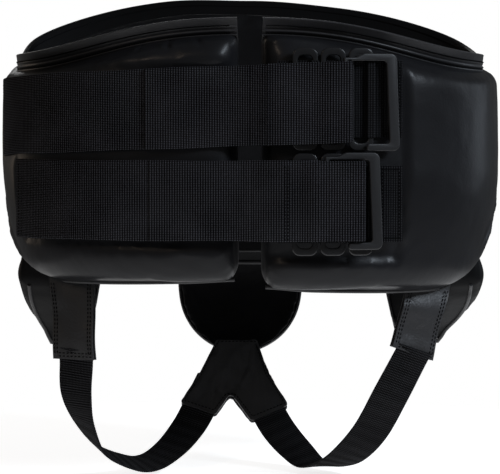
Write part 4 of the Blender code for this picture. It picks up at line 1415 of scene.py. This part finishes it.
def tab_place(side_sign, foot, slant):
    """A function that gives the tab's points: d down it (0 to 1), e across it (-1 to 1), height out."""
    around = -TAB_AT * side_sign
    head = belt(np.array([around]), lower_edge(np.array([around])) - 0.001, TAB_DEPTH)[0]
    across = np.array([TAB_ACROSS, -TAB_OUT * side_sign, 0])
    face = np.array([TAB_OUT * side_sign, TAB_ACROSS, 0])

    def place(d, e, out):
        width = 1 - TAB_NARROWS * d - TAB_WAIST * math.sin(math.pi * max(d, 0))
        puff = 0.0006 * math.sin(d * 9 + side_sign) + 0.0005 * math.sin(e * 3 + d * 5)
        point = head + (foot - head) * d + face * (out + puff) + across * e * width * TAB_WIDTH / 2
        point[2] += slant * e * d
        return point
    return place, face


def tab_ply(name, place, outs):
    down, along = np.linspace(TAB_HEAD_ABOVE, 1, 46), np.linspace(-1, 1, 30)
    grids = []
    for out in outs:
        closing = {d: out * (1 - TAB_CLOSES * ease((0.30 - d) / 0.4)) for d in down}
        grids.append(np.array([[place(d, e, closing[d]) for e in along] for d in down]))
    ply = skinned(name, grids[0], grids[1], [LEATHER])
    softened(ply, 0.0005)
    return ply


def leg_tabs():
    """A folded leather tab below each wing: two plies with the elastic's end between them."""
    depth = TAB_POCKET / 2 + TAB_LEATHER
    for side, sign, bottom, slant in (
        ("left", 1, (0.1421, 0.0880, -0.1648), 0.0), ("right", -1, (-0.1304, 0.0880, -0.1600), 0.0065),
    ):
        place, face = tab_place(sign, np.array(bottom), slant)
        plies = [
            tab_ply(f"{side}_tab_ply", place, (ply * depth, ply * (depth - TAB_LEATHER)))
            for ply in (1, -1)
        ]
        rows = []
        for inset in (0.0022, 0.0046):
            edge = 1 - inset / (TAB_WIDTH / 2)
            foot = 1 - inset / TAB_LENGTH
            for e in (-edge, edge):
                rows.append([place(d, e, depth + 0.0002) for d in np.linspace(0.02, 0.96, 24)])
            rows.append([place(foot, e, depth + 0.0002) for e in np.linspace(-0.85, 0.85, 16)])
        normals = [np.tile(face, (len(row), 1)) for row in rows]
        sewn = stitches(f"{side}_tab_thread", [np.array(row) for row in rows], normals, THREAD)
        piece = joined(*plies, sewn)
        piece.name = f"{side}_leg_tab_leather"
        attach(piece, f"{side}_wing")
        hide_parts(f"{side}_leg_tab")


YOKE_OUTLINE = (
    # across, height and corner radius, before the yoke is leant to its slope
    (0.030, -0.168, 0.003), (0.0450, -0.196, 0.020), (0.0610, -0.2185, 0.003), (0.0300, -0.2275, 0.003),
    (0.0172, -0.2110, 0.004), (-0.0012, -0.2325, 0.003), (-0.0335, -0.2205, 0.003),
    (-0.0160, -0.1950, 0.016), (-0.0065, -0.168, 0.003),
)


YOKE_HEAD, YOKE_FOOT = Vector((0, -0.0975, -0.168)), Vector((0, -0.0450, -0.229))
SHEET_GRID, SHEET_BUCKLE, SHEET_SEAM = 0.0032, 0.0030, 0.0026


def yoke():
    drop = YOKE_HEAD.z - YOKE_FOOT.z
    lean = math.atan2(YOKE_FOOT.y - YOKE_HEAD.y, drop)
    stretch = (YOKE_FOOT - YOKE_HEAD).length / drop
    flat = [(x, (z - YOKE_HEAD.z) * stretch, radius) for x, z, radius in YOKE_OUTLINE]
    turn = Matrix.Rotation(lean, 4, "X")
    loop = rounded_outline(flat, 6)
    for name, node_name, side in (
        ("yoke_outer_leather", "yoke_outer", 1), ("yoke_backing_leather", "yoke_backing", -1),
    ):
        offset = side * (ELASTIC / 2 + CLEARANCE + YOKE / 2)
        place = Matrix.Translation(YOKE_HEAD) @ turn @ Matrix.Translation(Vector((0, offset, 0)))
        piece = sheet_leather(name, loop, YOKE, place, side)
        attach(piece, "root")
        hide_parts(node_name)


def sheet_leather(name, loop, thickness, place, side):
    """Thin leather cut to an outline, finely divided, gently buckled and stitched round its edge."""
    mesh = bmesh.new()
    mesh.faces.new([mesh.verts.new((p.x, 0, p.y)) for p in loop])
    bmesh.ops.triangulate(mesh, faces=mesh.faces)
    for _ in range(4):
        long_ones = [e for e in mesh.edges if e.calc_length() > SHEET_GRID]
        if not long_ones:
            break
        bmesh.ops.subdivide_edges(mesh, edges=long_ones, cuts=1, use_grid_fill=False)
        bmesh.ops.triangulate(mesh, faces=mesh.faces)
    edge = {v for e in mesh.edges if e.is_boundary for v in e.verts}
    inner = [v for v in mesh.verts if v not in edge]
    for _ in range(3):
        bmesh.ops.smooth_vert(mesh, verts=inner, factor=0.5, use_axis_x=True, use_axis_z=True)
    for v in mesh.verts:
        wave = 0.5 * noise.noise(Vector((v.co.x * 95 + side, v.co.z * 42, 3.0)))
        wave += 0.5 * noise.noise(Vector((v.co.x * 190, v.co.z * 80, 9.0 + side)))
        v.co.y = side * SHEET_BUCKLE * max(wave, -0.2)
    bmesh.ops.solidify(mesh, geom=list(mesh.faces), thickness=thickness)
    mesh.transform(place)
    bmesh.ops.recalc_face_normals(mesh, faces=mesh.faces)
    made = object_from(mesh, name, LEATHER, SHARP)
    out = side * (thickness / 2 + 0.0007)
    row = np.array([place @ Vector((x, out, y)) for x, y in inset_loop(loop, SHEET_SEAM)])
    normal = np.array(place.to_3x3() @ Vector((0, side, 0)))
    sewn = stitches(f"{name}_thread", [row], [np.tile(normal, (len(row), 1))], THREAD)
    return joined(made, sewn)


def inset_loop(loop, inset):
    """A closed outline moved inwards by a distance."""
    points = np.array([(p.x, p.y) for p in loop])
    points = np.vstack([points, points[:1]])
    points = resampled(points, 0.0015)[:-1]
    following = np.roll(points, -1, axis=0)
    ahead = following - np.roll(points, 1, axis=0)
    ahead /= np.linalg.norm(ahead, axis=1)[:, None]
    normal = np.stack([-ahead[:, 1], ahead[:, 0]], axis=1)
    area = 0.5 * np.sum(points[:, 0] * following[:, 1] - following[:, 0] * points[:, 1])
    inner = points + normal * inset * np.sign(area)
    return np.vstack([inner, inner[:1]])


# ---------------------------------------------------------------- stage, light and camera

def area_light(name, place, aim, size, power, colour):
    data = bpy.data.lights.new(name, "AREA")
    data.shape = "RECTANGLE"
    data.size, data.size_y = size
    data.energy = power
    data.color = colour
    made = bpy.data.objects.new(name, data)
    made.location = place
    made.rotation_euler = (Vector(aim) - Vector(place)).to_track_quat("-Z", "Y").to_euler()
    bpy.context.scene.collection.objects.link(made)


FLOOR_DROP, FLOOR_RADIUS, FLOOR_GLOW = 0.004, 0.50, 0.78
FLOOR_SIDES = 96
WORLD_LIGHT, WORLD_SHOWN = 0.10, 1.0


def floor_look():
    made, tree, shader = material("pale_ground")
    mottle = textured(tree, coordinates(tree), "Noise", Scale=3.0, Detail=2.0)
    colour = ramp(tree, mottle.outputs["Fac"], ((0.3, grey(0.86)), (0.7, grey(0.88))))
    tree.links.new(colour, shader.inputs["Base Color"])
    shader.inputs["Roughness"].default_value = 0.9
    shader.inputs["Specular IOR Level"].default_value = 0.1
    shader.inputs["Emission Color"].default_value = (1, 1, 1, 1)
    shader.inputs["Emission Strength"].default_value = FLOOR_GLOW
    return made


def stage():
    """A pale round floor just below the part, and a world that shows white and lights softly."""
    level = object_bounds()[0][2] - FLOOR_DROP
    turns = np.linspace(0, 2 * math.pi, FLOOR_SIDES, endpoint=False)
    points = [
        (reach * math.cos(t), reach * math.sin(t), level)
        for reach in (FLOOR_RADIUS / 2, FLOOR_RADIUS) for t in turns
    ]
    faces = []
    for i in range(FLOOR_SIDES):
        j = (i + 1) % FLOOR_SIDES
        faces += [(2 * FLOOR_SIDES, i, j), (i, FLOOR_SIDES + i, FLOOR_SIDES + j, j)]
    data = bpy.data.meshes.new("ground")
    data.from_pydata(points + [(0, 0, level)], [], faces)
    data.materials.append(floor_look())
    floor = bpy.data.objects.new("ground", data)
    bpy.context.scene.collection.objects.link(floor)
    floor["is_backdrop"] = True

    scene = bpy.context.scene
    scene.view_settings.view_transform = "Standard"
    world = scene.world or bpy.data.worlds.new("pale")
    scene.world = world
    world.use_nodes = True
    tree = world.node_tree
    background = tree.nodes["Background"]
    rays = node(tree, "ShaderNodeLightPath")
    strength = node(tree, "ShaderNodeMapRange")
    strength.inputs["To Min"].default_value = WORLD_LIGHT
    strength.inputs["To Max"].default_value = WORLD_SHOWN
    tree.links.new(rays.outputs["Is Camera Ray"], strength.inputs["Value"])
    tree.links.new(strength.outputs["Result"], background.inputs["Strength"])
    background.inputs["Color"].default_value = (1.0, 1.0, 1.0, 1)


WHITE, COOL, WARM = (1, 1, 1), (0.80, 0.89, 1.0), (1.0, 0.80, 0.62)
LIGHTS = (
    # name, place, aim, size, power and colour
    ("key", (-1.35, 1.05, 0.90), (-0.05, 0.1, 0.0), (0.55, 0.40), 22, COOL),
    ("side", (-1.6, -0.55, 0.30), (0, 0, 0), (0.6, 1.1), 3.6, COOL),
    ("warm_side", (1.5, -0.95, 0.30), (0, 0, 0), (0.5, 1.0), 1.5, WARM),
    ("edge", (1.0, 1.5, 0.9), (0.0, 0.1, 0.0), (0.12, 0.45), 3.0, WARM),
    ("front", (0.3, -1.8, 1.0), (0, 0, 0), (1.0, 0.8), 4.5, WHITE),
)
LENS, CAMERA_RISE, CAMERA_DISTANCE = 175.0, math.radians(3.0), 1.9
CAMERA_AIM = Vector((0.0, 0.155, -0.062))


def camera():
    data = bpy.data.cameras.new("camera")
    data.lens = LENS
    made = bpy.data.objects.new("camera", data)
    away = Vector((0, math.cos(CAMERA_RISE), math.sin(CAMERA_RISE)))
    made.location = CAMERA_AIM + CAMERA_DISTANCE * away
    made.rotation_euler = (-away).to_track_quat("-Z", "Y").to_euler()
    bpy.context.scene.collection.objects.link(made)
    bpy.context.scene.camera = made


camera()
stage()
for light in LIGHTS:
    area_light(*light)
pads()
borders()
piping()
straps()
tapes()
rings()
hooks()
cup()
leg_elastics()
leg_tabs()
yoke()
